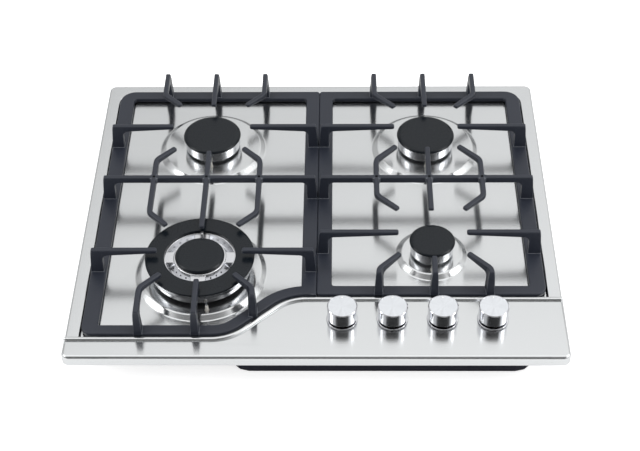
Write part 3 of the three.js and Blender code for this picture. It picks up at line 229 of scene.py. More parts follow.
def turned_aluminium(name, tone, roughness, centre, pitch, groove_mm, stretch, bump):
    """Aluminium turned on a lathe: fine rings round its axis, cut a little unevenly, and pale and dark fan
    shapes painted into its tone by angle round the axis, a painted reflection of a spun face. The same axis
    repeats along X at the pitch."""
    material, tree = new_material(name)
    painted_fan_scale, darkest, lightest, gloss_spread = 2.2, 0.84, 1.12, 0.08
    far, edge_mm = 9, 0.3
    place = add(tree, "ShaderNodeTexCoord").outputs["Object"]
    local = reckon_vector(tree, "SUBTRACT", place, centre)
    local = reckon_vector(tree, "WRAP", local, (pitch / 2, far, far), (-pitch / 2, -far, -far))
    flat = reckon_vector(tree, "MULTIPLY", local, (1, 1, 0))
    distance = reckon_vector(tree, "LENGTH", flat)
    rings = add(tree, "ShaderNodeTexNoise", {"W": distance, "Scale": 1 / (groove_mm * MM), "Detail": 2.0},
                noise_dimensions="1D").outputs["Fac"]
    # The fans are a painted reflection: a tone that lightens and darkens by angle round the axis, as lamps on
    # a spun face would.
    painted_reflection_fans = add(tree, "ShaderNodeTexNoise", {
        "Vector": reckon_vector(tree, "NORMALIZE", flat), "Scale": painted_fan_scale, "Detail": 3.0}).outputs["Fac"]
    both = reckon(tree, "ADD", rings, painted_reflection_fans)
    shade = ranged(tree, both, darkest, lightest, start=0.5, end=1.5)
    gloss = ranged(tree, both, roughness - gloss_spread, roughness + gloss_spread, end=2.0)
    outward = add(tree, "ShaderNodeVectorTransform", {"Vector": flat},
                  vector_type="VECTOR", convert_from="OBJECT", convert_to="WORLD").outputs[0]
    normal = embossed(tree, rings, bump, groove_mm * 0.1, rounded(tree, edge_mm))
    metallic(tree, tinted(tree, tone, shade), gloss, stretch, outward, normal)
    return material


# ------------------------------ real sizes, mm

WORKTOP = 40.0
RIM = 49.0
ZONE = 46.0
PAD = 51.0
DECK = 53.0
SHEET = 1.0
HALF_WIDTH = 290.0
HALF_DEPTH = 250.0
PANEL_CORNER = 9
RIM_WIDTH = 16.8
RIM_ROUNDING = 3
ZONE_CORNER = 21
DECK_ROUNDING = 4
BEAD_RADIUS = 3.2
BEAD_LEVEL = 51.8
BEAD_LEFT = -221.4
BEAD_RIGHT = -158.5
BEAD_GROOVE = 1.6
KNOB_PITCH = 58.2
KNOBS = [30.4 + KNOB_PITCH * i for i in range(4)]
KNOB_Y = -190.0
SPINDLE_HOLE = 6.1

# For each burner: its place, the radii of its cap, of the hole in its pad and of the pad, how near to its
# middle the grate's side, rear, front and diagonal fingers end, and its electrode's turn in degrees.
BURNERS = {
    "rear_left": {"x": -139.2, "y": 119.0, "cap": 37.3, "hole": 26, "pad": 69,
                  "side": 50, "rear": 42.5, "front": 49.5, "diagonal": 43.2, "turn": 0},
    "rear_right": {"x": 139.2, "y": 119.0, "cap": 37.3, "hole": 26, "pad": 69,
                   "side": 41, "rear": 41.5, "front": 42.3, "diagonal": 39.6, "turn": 0},
    "front_right": {"x": 139.2, "y": -78.7, "cap": 27.7, "hole": 19, "pad": 43.5,
                    "side": 41, "rear": 39, "front": 41.4, "diagonal": 40.2, "turn": 0},
    "front_left": {"x": -139.2, "y": -109.5, "cap": 29.6, "hole": 26, "pad": 79,
                   "side": 50.5, "rear": 39, "front": 48.3, "diagonal": 43, "turn": 10},
}
CAP_OVERHANG = 1.8
CROWN_REACH = 63.3
ELECTRODE_GAP = 1.5
ELECTRODE_NECK = 2.4


# ------------------------------ mesh helpers

ROUND_SIDES = 96
CREASE_DEGREES = 35


def shown(name, verts, faces, finish, crease=CREASE_DEGREES):
    """A mesh object from millimetre points, merged, facing outwards and smooth up to its creases."""
    mesh = bpy.data.meshes.new(name)
    mesh.from_pydata([[c * MM for c in v] for v in verts], [], faces)
    mesh.materials.append(finish)
    tidy(mesh, crease)
    return linked(name, mesh)


def tidy(mesh, crease):
    """Merges points, turns faces outwards, or upwards on an open skin, and marks the sharp edges."""
    work = bmesh.new()
    work.from_mesh(mesh)
    bmesh.ops.remove_doubles(work, verts=work.verts, dist=0.004 * MM)
    bmesh.ops.dissolve_degenerate(work, edges=work.edges, dist=0.001 * MM)
    bmesh.ops.recalc_face_normals(work, faces=work.faces)
    skin = any(edge.is_boundary for edge in work.edges)
    if skin and sum(face.normal.z * face.calc_area() for face in work.faces) < 0:
        bmesh.ops.reverse_faces(work, faces=work.faces)
    limit = radians(crease)
    for face in work.faces:
        face.smooth = True
    for edge in work.edges:
        edge.smooth = len(edge.link_faces) == 2 and edge.calc_face_angle(0) < limit
    work.to_mesh(mesh)
    work.free()


def settled(piece, *modifiers):
    """Applies modifiers, given as (type, settings), so that the piece is left a plain mesh."""
    for kind, settings in modifiers:
        modifier = piece.modifiers.new(kind.lower(), kind)
        for name, value in settings.items():
            setattr(modifier, name, value)
    graph = bpy.context.evaluated_depsgraph_get()
    mesh = bpy.data.meshes.new_from_object(piece.evaluated_get(graph), depsgraph=graph)
    piece.modifiers.clear()
    old = piece.data
    piece.data = mesh
    bpy.data.meshes.remove(old)
    return piece


def even(piece):
    """Keeps large faces flat and lets their rounded edges turn the light."""
    return settled(piece, ("WEIGHTED_NORMAL", {"keep_sharp": True, "weight": 60}))


def dressed(piece, node, body):
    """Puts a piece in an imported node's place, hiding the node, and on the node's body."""
    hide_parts(node)
    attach(piece, body)


def merged(name, pieces):
    """One object from several, with their material slots kept."""
    work = bmesh.new()
    finishes = []
    for piece in pieces:
        places = []
        for finish in piece.data.materials:
            if finish not in finishes:
                finishes.append(finish)
            places.append(finishes.index(finish))
        start = len(work.faces)
        work.from_mesh(piece.data)
        work.faces.ensure_lookup_table()
        for face in work.faces[start:]:
            face.material_index = places[face.material_index]
    mesh = bpy.data.meshes.new(name)
    work.to_mesh(mesh)
    work.free()
    for finish in finishes:
        mesh.materials.append(finish)
    for piece in pieces:
        bpy.data.objects.remove(piece)
    return linked(name, mesh)


def polar(x, y, reach, angle):
    """The plan point at a reach and an angle from a middle."""
    return x + reach * cos(angle), y + reach * sin(angle)


def bent(before, corner, after, reach, steps):
    """Points of a short curve that cuts a corner, and starts and ends at a reach from it."""
    start = corner + (before - corner).normalized() * reach
    end = corner + (after - corner).normalized() * reach
    shares = (i / steps for i in range(steps + 1))
    return [start * (1 - t) ** 2 + corner * 2 * t * (1 - t) + end * t ** 2 for t in shares]


def eased(profile, steps=4):
    """A profile of (radius, z), with a corner rounded where its point has a third value, its rounding."""
    places = [Vector(point[:2]) for point in profile]
    line = []
    for k, (here, point) in enumerate(zip(places, profile)):
        if len(point) == 2:
            line.append(tuple(here))
            continue
        before, after = places[k - 1], places[k + 1]
        back, ahead = before - here, after - here
        reach = min(point[2] / tan(back.angle(ahead) / 2), back.length * 0.49, ahead.length * 0.49)
        line += [tuple(place) for place in bent(before, here, after, reach, steps)]
    return line


def turned(name, profile, finish, x, y, sides=ROUND_SIDES, crease=CREASE_DEGREES):
    """A turned form from a profile of (radius, z), closed on the axis or all round."""
    closed = profile[0][0] > 0 and profile[-1][0] > 0
    verts = []
    for i in range(sides):
        angle = tau * i / sides
        verts += [(*polar(x, y, radius, angle), z) for radius, z in profile]
    count = len(profile)
    faces = []
    for i in range(sides):
        here = i * count
        beside = (i + 1) % sides * count
        for k in range(count if closed else count - 1):
            after = (k + 1) % count
            faces.append((here + k, beside + k, beside + after, here + after))
    return shown(name, verts, faces, finish, crease)


def lofted(rings, closed_ends=True):
    """Points and faces of a loft through rings with the same number of points."""
    count = len(rings[0])
    faces = []
    for level in range(len(rings) - 1):
        for i in range(count):
            low = level * count
            following = (i + 1) % count
            faces.append((low + i, low + following, low + count + following, low + count + i))
    verts = [point for ring in rings for point in ring]
    if closed_ends:
        last = (len(rings) - 1) * count
        faces.append(tuple(range(count))[::-1])
        faces.append(tuple(range(last, last + count)))
    return verts, faces


def filled(outer, holes, z):
    """Points and triangles of a level face with holes."""
    loops = [[Vector((x, y, 0)) for x, y in loop] for loop in (outer, *holes)]
    flat = [(p.x, p.y, z) for loop in loops for p in loop]
    return flat, [tuple(t) for t in tessellate_polygon(loops)]


def shells(*parts):
    """Several (points, faces) as one."""
    verts = []
    faces = []
    for points, polygons in parts:
        faces += [tuple(i + len(verts) for i in polygon) for polygon in polygons]
        verts += points
    return verts, faces


def ring_of(outline, z):
    return [(x, y, z) for x, y in outline]


def circle(x, y, radius, sides):
    return [polar(x, y, radius, tau * i / sides) for i in range(sides)]


def rectangle(left, right, front, rear, radii, inset=0.0, steps=10):
    """A rectangle's plan with a radius for each corner: front left, front right, rear right, rear left."""
    corners = [(left, front, 1, 1, pi), (right, front, -1, 1, -pi / 2),
               (right, rear, -1, -1, 0), (left, rear, 1, -1, pi / 2)]
    line = []
    for (x, y, toward_x, toward_y, start), radius in zip(corners, radii):
        bend = max(radius - inset, 0.2)
        middle = x + toward_x * (inset + bend), y + toward_y * (inset + bend)
        line += [polar(*middle, bend, start + i / steps * pi / 2) for i in range(steps + 1)]
    return line


def front_half(plan):
    """The front left and front right corners of a rectangle's plan."""
    return plan[:len(plan) // 2]


def rear_half(plan):
    """The rear right and rear left corners of a rectangle's plan."""
    return plan[len(plan) // 2:]


def quarter(radius, steps=6):
    """Inset and drop of a rounded edge, from its wall to its top."""
    angles = (i / steps * pi / 2 for i in range(steps + 1))
    return [(radius * (1 - cos(angle)), radius * (1 - sin(angle))) for angle in angles]


# ------------------------------ the swept line

SWEEP_MIDDLE = -66
SWEEP_ANGLE = radians(43)
SWEEP_RISE = BEAD_RIGHT - BEAD_LEFT
SWEEP_BEND = min(55, SWEEP_RISE / (2 * (1 - cos(SWEEP_ANGLE))))
SWEEP_RUN = (SWEEP_RISE - 2 * SWEEP_BEND * (1 - cos(SWEEP_ANGLE))) / sin(SWEEP_ANGLE)
SWEEP_HALF = SWEEP_BEND * sin(SWEEP_ANGLE) + SWEEP_RUN / 2 * cos(SWEEP_ANGLE)
SWEEP_START = SWEEP_MIDDLE - SWEEP_HALF
SWEEP_END = SWEEP_MIDDLE + SWEEP_HALF
SWEEP_STEPS = 36


def sweep_y(x, behind):
    """The Y of a line that runs the given distance behind the bead's middle."""
    first = SWEEP_BEND - behind
    second = SWEEP_BEND + behind
    first_end = SWEEP_START + first * sin(SWEEP_ANGLE)
    second_start = SWEEP_END - second * sin(SWEEP_ANGLE)
    if x <= SWEEP_START:
        return BEAD_LEFT + behind
    if x >= SWEEP_END:
        return BEAD_RIGHT + behind
    if x < first_end:
        return BEAD_LEFT + SWEEP_BEND - sqrt(first ** 2 - (x - SWEEP_START) ** 2)
    if x > second_start:
        return BEAD_RIGHT - SWEEP_BEND + sqrt(second ** 2 - (SWEEP_END - x) ** 2)
    return BEAD_LEFT + SWEEP_BEND - first * cos(SWEEP_ANGLE) + (x - first_end) * tan(SWEEP_ANGLE)


def sweep_line(start, end, behind):
    """The swept line from start to end, which may end before the sweep does."""
    last = min(SWEEP_END, end)
    inside = [SWEEP_START + i / SWEEP_STEPS * (last - SWEEP_START) for i in range(SWEEP_STEPS + 1)]
    places = [start, *inside, end] if last < end else [start, *inside]
    return [(x, sweep_y(x, behind)) for x in places]


# ------------------------------ pressed steel top

# Plan insets and drops of the step from the rim down into the hob zone.
ZONE_STEP = [(-1.4, 0), (-0.8, 0.1), (-0.3, 0.5), (0.2, 1.4), (0.6, 2.3), (1.1, 2.85), (1.9, 3)]
# A pad's slope, as distances out from the pad's radius and heights.
PAD_SLOPE = [(1, ZONE), (-0.2, ZONE + 0.25), (-1.1, ZONE + 0.8),
             (-5.4, PAD - 1), (-6.4, PAD - 0.3), (-7.8, PAD)]
ELECTRODE_HOLE = 3
DECK_REAR_EDGE = RIM - 0.4


def panel_outline(inset):
    return rectangle(-HALF_WIDTH, HALF_WIDTH, -HALF_DEPTH, HALF_DEPTH, [PANEL_CORNER] * 4, inset)


def rim_outline(inset):
    """The rim's plan, which ends under the bead."""
    return sweep_line(inset - HALF_WIDTH, HALF_WIDTH - inset, 0) + rear_half(panel_outline(inset))


def zone_outline(inset):
    side = HALF_WIDTH - RIM_WIDTH
    whole = rectangle(-side, side, -HALF_DEPTH, HALF_DEPTH - RIM_WIDTH, [ZONE_CORNER] * 4, inset)
    return sweep_line(inset - side, side - inset, BEAD_RADIUS) + rear_half(whole)


def deck_outline(inset):
    rear = sweep_line(inset - HALF_WIDTH, HALF_WIDTH - inset, -BEAD_GROOVE - inset)
    return front_half(panel_outline(inset)) + rear[::-1]


def electrode_place(name):
    burner = BURNERS[name]
    widest = CROWN_REACH if name == "front_left" else burner["cap"]
    reach = widest - CAP_OVERHANG + ELECTRODE_GAP + ELECTRODE_NECK
    return polar(burner["x"], burner["y"], reach, radians(burner["turn"] - 90))


def make_rim_and_zone(steel):
    outer = [ring_of(rim_outline(0), WORKTOP)]
    outer += [ring_of(rim_outline(inset), RIM - drop) for inset, drop in quarter(RIM_ROUNDING)]
    inner = [ring_of(zone_outline(inset), RIM - drop) for inset, drop in ZONE_STEP]
    top = filled(rim_outline(RIM_ROUNDING), [zone_outline(ZONE_STEP[0][0])[::-1]], RIM)
    pad_holes = [circle(burner["x"], burner["y"], burner["pad"] + PAD_SLOPE[0][0], ROUND_SIDES)[::-1]
                 for burner in BURNERS.values()]
    floor = filled(zone_outline(ZONE_STEP[-1][0]), pad_holes, ZONE)
    parts = [lofted(outer, closed_ends=False), lofted(inner, closed_ends=False), top, floor]
    for name, burner in BURNERS.items():
        x, y = burner["x"], burner["y"]
        rings = [ring_of(circle(x, y, burner["pad"] + out, ROUND_SIDES), z) for out, z in PAD_SLOPE]
        shoulder = circle(x, y, burner["pad"] + PAD_SLOPE[-1][0], ROUND_SIDES)
        holes = [circle(x, y, burner["hole"], 64)[::-1],
                 circle(*electrode_place(name), ELECTRODE_HOLE, 16)[::-1]]
        parts += [lofted(rings, closed_ends=False), filled(shoulder, holes, PAD)]
    return shown("rim_and_zone", *shells(*parts), steel, crease=50)


def make_deck(steel):
    def level(inset, z):
        front = len(front_half(panel_outline(inset)))
        return [(x, y, z if k < front else max(z, DECK_REAR_EDGE))
                for k, (x, y) in enumerate(deck_outline(inset))]
    rings = [level(0, WORKTOP)] + [level(inset, DECK - drop) for inset, drop in quarter(DECK_ROUNDING)]
    holes = [circle(x, KNOB_Y, SPINDLE_HOLE, 32)[::-1] for x in KNOBS]
    top = filled(deck_outline(DECK_ROUNDING), holes, DECK)
    return shown("deck", *shells(lofted(rings, closed_ends=False), top), steel, crease=50)


def make_bead(steel):
    """The half-round bead that bounds the deck. It narrows to nothing at both ends."""
    end_steps, round_steps = 5, 12
    reach = HALF_WIDTH - BEAD_RADIUS
    angles = [i / end_steps * pi / 2 for i in range(1, end_steps + 1)]
    ends = [(BEAD_RADIUS * sin(angle), cos(angle)) for angle in angles]
    places = [(-reach - out, share) for out, share in ends[::-1]]
    places += [(point[0], 1.0) for point in sweep_line(-reach, reach, 0)]
    places += [(reach + out, share) for out, share in ends]
    rings = []
    for x, share in places:
        radius = max(BEAD_RADIUS * share, 0.05)
        flat = min(max(x, -reach), reach)
        middle = sweep_y(flat, 0)
        slope = sweep_y(flat + 0.5, 0) - sweep_y(flat - 0.5, 0)
        across = Vector((-slope, 1)).normalized()
        ring = [(x + across.x * radius, middle + across.y * radius, ZONE)]
        for i in range(round_steps + 1):
            angle = pi * i / round_steps
            offset = radius * cos(angle)
            ring.append((x + across.x * offset, middle + across.y * offset,
                         BEAD_LEVEL + radius * sin(angle)))
        ring.append((x - across.x * radius, middle - across.y * radius, RIM - 0.5))
        rings.append(ring)
    return shown("bead", *lofted(rings), steel, crease=50)


def make_top_panel(steel):
    wall = ("SOLIDIFY", {"thickness": SHEET * MM, "offset": -1})
    skins = [settled(make_rim_and_zone(steel), wall), settled(make_deck(steel), wall), make_bead(steel)]
    dressed(even(merged("steel_top", skins)), "top_panel", "cooktop")


# ------------------------------ cast grates

FRAME_LOW = 47.8
FRAME_HIGH = 53.8
FRAME_UNDER_EDGE = 0.8
FRAME_EDGE = 1.8
FINGER_TOP = 87.4
BAR_UNDER = FINGER_TOP - 8.4
BAR_TOP_WIDTH = 6.1
BAR_LOW_WIDTH = 7.3
POST_WIDTH = 10.4
CROSS_BAR = 19.3
OCTAGON = 65.8
FRONT_OCTAGON_SHIFT = 4
GRATE_OUTER = 271.4
GRATE_INNER = 0.05
GRATE_OPENING = 18.0
GRATE_REAR = 231.4
GRATE_GAP = BEAD_RADIUS + 3.6
SIDE_BAR = 19
INNER_BAR = 16.5
REAR_BAR = 16
FRONT_BAR = 14.6
OUTER_CORNER = 20
FRONT_CORNER = 13
INNER_CORNER = 4
FOOT_LOW = 46.3
FOOT_HIGH = 48.4


def grate_sides(side):
    """The X of a grate's left and right edges."""
    return (-GRATE_OUTER, -GRATE_INNER) if side < 0 else (GRATE_INNER, GRATE_OUTER)


def left_and_right(side, outer, inner):
    """A grate's outer and inner value, put as its left and right one."""
    return (outer, inner) if side < 0 else (inner, outer)


def grate_outline(side, inset):
    """The grate's plan. Its front edge follows the bead."""
    low, high = grate_sides(side)
    rear_radii = left_and_right(side, OUTER_CORNER, INNER_CORNER)[::-1]
    front_radii = left_and_right(side, FRONT_CORNER, INNER_CORNER)
    behind = GRATE_GAP + inset
    front = sweep_y(side * HALF_WIDTH, behind) - inset
    plan = rectangle(low, high, front, GRATE_REAR, [*front_radii, *rear_radii], inset)
    if side > 0:
        return plan
    front_left_corner = plan[:len(plan) // 4]
    sweep = sweep_line(low + FRONT_CORNER + 1 + inset, high - inset, behind)
    return front_left_corner + sweep + rear_half(plan)


def grate_opening(side, inset):
    outer = GRATE_OUTER - SIDE_BAR
    low, high = (-outer, -GRATE_OPENING) if side < 0 else (GRATE_OPENING, outer)
    behind = GRATE_GAP + FRONT_BAR + inset
    front = sweep_y(side * HALF_WIDTH, behind) - inset
    plan = rectangle(low, high, front, GRATE_REAR - REAR_BAR, [INNER_CORNER] * 4, inset, steps=6)
    if side > 0:
        return plan
    return sweep_line(low + inset, high - inset, behind) + rear_half(plan)


def make_frame(side, iron):
    """The flat frame: both plans joined by rounded edges, top and bottom."""
    insets = [(FRAME_UNDER_EDGE, FRAME_LOW), (0, FRAME_LOW + FRAME_UNDER_EDGE)]
    insets += [(inset, FRAME_HIGH - drop) for inset, drop in quarter(FRAME_EDGE, 4)]
    outer = [ring_of(grate_outline(side, inset), z) for inset, z in insets]
    inner = [ring_of(grate_opening(side, -inset), z) for inset, z in insets]
    top, under = (filled(grate_outline(side, edge), [grate_opening(side, -edge)[::-1]], z)
                  for edge, z in ((FRAME_EDGE, FRAME_HIGH), (FRAME_UNDER_EDGE, FRAME_LOW)))
    walls = [lofted(outer, closed_ends=False), lofted(inner, closed_ends=False)]
    return shown("frame", *shells(*walls, top, under), iron, crease=50)


def rounded_section(low, high, low_width, high_width):
    """A bar's section: drafted sides, with all four corners rounded."""
    corners = [Vector((-low_width / 2, low)), Vector((-high_width / 2, high)),
               Vector((high_width / 2, high)), Vector((low_width / 2, low))]
    reach = min(1.5, high_width * 0.3, (high - low) * 0.3)
    line = []
    for k, corner in enumerate(corners):
        line += bent(corners[k - 1], corner, corners[(k + 1) % 4], reach, 3)
    return line


def eased_path(path):
    """A plan path with its bends turned into short curves."""
    longest, steps = 6.0, 5
    points = [Vector(point) for point in path]
    line = [points[0]]
    for before, here, after in zip(points, points[1:], points[2:]):
        reach = min(longest, (before - here).length / 2, (after - here).length / 2) * 0.98
        line += bent(before, here, after, reach, steps)
    return line + [points[-1]]


def fin(path, stations):
    """A cast bar along a plan path through stations of (distance, low, high, low width, high width)."""
    points = eased_path(path)
    reached = [0.0]
    for before, after in zip(points, points[1:]):
        reached.append(reached[-1] + (after - before).length)
    given = [station[0] for station in stations]
    distances = sorted({round(d, 3) for d in given + [d for d in reached if given[0] < d < given[-1]]})
    rings = []
    for distance in distances:
        after = next((k for k, d in enumerate(given) if d >= distance), len(given) - 1)
        before = max(after - 1, 0)
        span = given[after] - given[before]
        share = (distance - given[before]) / span if span > 0 else 0
        ends = zip(stations[before][1:], stations[after][1:])
        section = rounded_section(*(a + share * (b - a) for a, b in ends))
        k = max(next((n for n, d in enumerate(reached) if d >= distance - 1e-6), len(reached) - 1), 1)
        along = (points[k] - points[k - 1]).normalized()
        place = points[k - 1] + along * (distance - reached[k - 1])
        across = Vector((-along.y, along.x))
        if abs(reached[k] - distance) < 1e-3 and k + 1 < len(points):
            following = (points[k + 1] - points[k]).normalized()
            middle = (along + following).normalized()
            across = Vector((-middle.y, middle.x)) / middle.dot(along)
        rings.append([(place.x + across.x * offset, place.y + across.y * offset, z) for offset, z in section])
    return lofted(rings)


def length_of(path):
    points = eased_path(path)
    return sum((b - a).length for a, b in zip(points, points[1:]))


def post(inner):
    """Stations of a post: it leans in from the frame's edge and runs into the bar in a fillet."""
    low = FRAME_LOW + 1.2
    top = FINGER_TOP
    outside = [(0, low, FRAME_HIGH - 1, 9.4, 9.4), (0.5, low, FRAME_HIGH + 1, 10, 9.8),
               (2.7, low, top - 4.5, 10.2, 7.2), (3.1, low, top - 1.2, 10.3, 6.2),
               (3.9, low, top - 0.3, POST_WIDTH, BAR_TOP_WIDTH), (5.2, low, top, POST_WIDTH, BAR_TOP_WIDTH),
               (inner, low, top, POST_WIDTH, BAR_TOP_WIDTH)]
    angles = [radians(degrees) for degrees in (8, 25, 42, 60, 75, 90)]
    fillet = [(inner + 7 * (1 - cos(angle)), BAR_UNDER - 8 * (1 - sin(angle)), top,
               7.6 - 0.3 * sin(angle), BAR_TOP_WIDTH) for angle in angles]
    return outside + fillet


def tip(end):
    """Stations of a bar's blunt, rounded tip."""
    under = FINGER_TOP - 5
    return [(end - 2.4, under, FINGER_TOP, BAR_LOW_WIDTH, BAR_TOP_WIDTH),
            (end - 1.1, under + 0.25, FINGER_TOP - 0.2, 6.7, 5.5),
            (end - 0.4, under + 0.7, FINGER_TOP - 0.7, 5.6, 4.6),
            (end, under + 1.4, FINGER_TOP - 1.4, 4.2, 3.4)]


def turned_back(stations, length):
    """Stations counted from the bar's other end."""
    return [(length - station[0], *station[1:]) for station in stations][::-1]


def finger(root, bar, way):
    """A post on the frame's bar and the finger that it carries. The post ends clear of the first bend."""
    path = [root, *way]
    first_bend = dist(root, way[0]) if len(way) > 1 else 0
    clear = first_bend + 3 if abs(first_bend - bar) < 8 else 0
    return fin(path, post(max(bar - 3, clear)) + tip(length_of(path)))


def free_bar(path, crossing):
    """A bar laid over the cross-bar, deepest where they meet."""
    length = length_of(path)
    middle = [(crossing + offset, BAR_UNDER, FINGER_TOP, BAR_LOW_WIDTH, BAR_TOP_WIDTH)
              for offset in (-7.3, 7.3)]
    return fin(path, turned_back(tip(length), length) + middle + tip(length))


def knot(x, y):
    """The small web that fills the corners where two bars cross."""
    star = []
    for quadrant in range(4):
        for degrees, reach in ((-42, 6.9), (0, 5.6), (42, 6.9)):
            star.append(polar(x, y, reach, radians(45 + 90 * quadrant + degrees)))
    return lofted([ring_of(star, BAR_UNDER + 0.2), ring_of(star, FINGER_TOP - 0.7)])


def grate_bars(side):
    """Every bar of a grate: the fingers over both burners, the free bars, the cross-bar and its knots."""
    rear = BURNERS["rear_left" if side < 0 else "rear_right"]
    front = BURNERS["front_left" if side < 0 else "front_right"]
    low, high = grate_sides(side)
    left_bar, right_bar = left_and_right(side, SIDE_BAR, INNER_BAR)
    bars = []
    for burner in (rear, front):
        x, y = burner["x"], burner["y"]
        bars.append(finger((low, y), left_bar, [(x - burner["side"], y)]))
        bars.append(finger((high, y), right_bar, [(x + burner["side"], y)]))
    rear_y, front_y = rear["y"], front["y"]
    for turn in (-1, 0, 1):
        x = rear["x"] + turn * OCTAGON
        if turn == 0:
            rear_way = [(x, rear_y + rear["rear"])]
            front_way = [(x, front_y - front["front"])]
            start = (x, rear_y - rear["front"])
            path = [start, (x, front_y + front["rear"])]
            crossing = start[1] - CROSS_BAR
        else:
            rear_x, rear_end = rear["x"] + turn * rear["diagonal"], rear["diagonal"]
            front_x, front_end = front["x"] + turn * front["diagonal"], front["diagonal"]
            rear_way = [(x, rear_y + OCTAGON), (rear_x, rear_y + rear_end)]
            front_way = [(x, front_y - OCTAGON + FRONT_OCTAGON_SHIFT),
                         (front_x, front_y - front_end + FRONT_OCTAGON_SHIFT)]
            start = (rear_x, rear_y - rear_end)
            bend = (x, rear_y - OCTAGON)
            path = [start, bend, (x, front_y + OCTAGON), (front_x, front_y + front_end)]
            crossing = dist(start, bend) + bend[1] - CROSS_BAR
        bars += [finger((x, GRATE_REAR), REAR_BAR, rear_way),
                 finger((x, sweep_y(x, GRATE_GAP)), FRONT_BAR, front_way),
                 free_bar(path, crossing), knot(x, CROSS_BAR)]
    stations = post(left_bar - 3) + turned_back(post(right_bar - 3), high - low)
    return bars + [fin([(low, CROSS_BAR), (high, CROSS_BAR)], stations)]


def make_feet(side, rubber):
    low, high = grate_sides(side)
    left_bar, right_bar = left_and_right(side, SIDE_BAR, INNER_BAR)
    rear = GRATE_REAR - OUTER_CORNER
    places = [(low + left_bar / 2, rear), (high - right_bar / 2, rear),
              (low + left_bar / 2, sweep_y(low, GRATE_GAP) + OUTER_CORNER),
              (high - right_bar / 2, sweep_y(high, GRATE_GAP) + OUTER_CORNER)]
    profile = eased([(0, FOOT_LOW), (6, FOOT_LOW, 0.6), (5.4, FOOT_HIGH), (0, FOOT_HIGH)])
    return [turned("foot", profile, rubber, x, y, 24) for x, y in places]


def make_grates(iron, rubber):
    for side, name in ((-1, "left"), (1, "right")):
        parts = [make_frame(side, iron), shown("bars", *shells(*grate_bars(side)), iron, crease=60)]
        grate = merged(f"{name}_pan_rest", parts + make_feet(side, rubber))
        dressed(even(grate), f"{name}_grate", f"{name}_grate")


# ------------------------------ burners

TUBE_BORE = 7.5
TUBE_RADIUS = 9.5
HEAD_WALL = 3
NECK_PLAY = 0.6
RING_CAP_BORE = 42.6
RING_CAP_RADIUS = 65.3
RING_CAP_PEGS = 47.3


def port_tree(sides):
    """Geometry Nodes: cuts rows of oval ports into a casting, in groups round its axis, and gives their
    bores a finish of their own, dark, which paints in the shade inside the holes."""
    tree = bpy.data.node_groups.new("gas_ports", "GeometryNodeTree")
    tree.interface.new_socket("Casting", in_out="INPUT", socket_type="NodeSocketGeometry")
    for name, kind in (("Count", "Int"), ("Group", "Int"), ("Sector", "Float"), ("Pitch", "Float"),
                       ("Start", "Float"), ("Centre", "Vector"), ("Reach", "Float"), ("Width", "Float"),
                       ("Height", "Float"), ("Depth", "Float"), ("Finish", "Material")):
        tree.interface.new_socket(name, in_out="INPUT", socket_type="NodeSocket" + kind)
    tree.interface.new_socket("Casting", in_out="OUTPUT", socket_type="NodeSocketGeometry")
    given = add(tree, "NodeGroupInput").outputs
    row = add(tree, "GeometryNodeMeshLine", {"Count": given["Count"], "Offset": (0, 0, 0)})
    index = add(tree, "GeometryNodeInputIndex").outputs[0]
    group = reckon(tree, "FLOOR", reckon(tree, "DIVIDE", index, given["Group"]))
    place = reckon(tree, "MODULO", index, given["Group"])
    first = reckon(tree, "MULTIPLY_ADD", group, given["Sector"], given["Start"])
    angle = reckon(tree, "MULTIPLY_ADD", place, given["Pitch"], first)
    outward = add(tree, "ShaderNodeCombineXYZ", {
        0: reckon(tree, "COSINE", angle), 1: reckon(tree, "SINE", angle)}).outputs[0]
    offset = reckon_vector(tree, "SCALE", outward, Scale=given["Reach"])
    spot = reckon_vector(tree, "ADD", offset, given["Centre"])
    spread = add(tree, "GeometryNodeSetPosition", {"Geometry": row.outputs[0], "Position": spot})
    drill = add(tree, "GeometryNodeMeshCylinder", {"Vertices": sides, "Radius": 0.5, "Depth": 1.0})
    bored = tree.nodes.new("GeometryNodeCaptureAttribute")
    bored.domain = "FACE"
    bored.capture_items.new("BOOLEAN", "Bored")
    bored.inputs["Bored"].default_value = True
    tree.links.new(drill.outputs["Mesh"], bored.inputs["Geometry"])
    level = add(tree, "GeometryNodeTransform", {
        "Geometry": bored.outputs["Geometry"], "Rotation": (0, pi / 2, 0)})
    turn = add(tree, "ShaderNodeCombineXYZ", {2: angle})
    size = add(tree, "ShaderNodeCombineXYZ", {0: given["Depth"], 1: given["Width"], 2: given["Height"]})
    drills = add(tree, "GeometryNodeInstanceOnPoints", {
        "Points": spread.outputs[0], "Instance": level.outputs[0], "Rotation": turn.outputs[0],
        "Scale": size.outputs[0]})
    solid = add(tree, "GeometryNodeRealizeInstances", {"Geometry": drills.outputs[0]})
    drilled = add(tree, "GeometryNodeMeshBoolean", {
        "Mesh 1": given["Casting"], "Mesh 2": solid.outputs[0]}, operation="DIFFERENCE", solver="EXACT")
    real = add(tree, "GeometryNodeRealizeInstances", {"Geometry": drilled.outputs["Mesh"]})
    finished = add(tree, "GeometryNodeSetMaterial", {
        "Geometry": real.outputs[0], "Selection": bored.outputs["Bored"], "Material": given["Finish"]})
    add(tree, "NodeGroupOutput", {"Casting": finished.outputs[0]})
    return tree


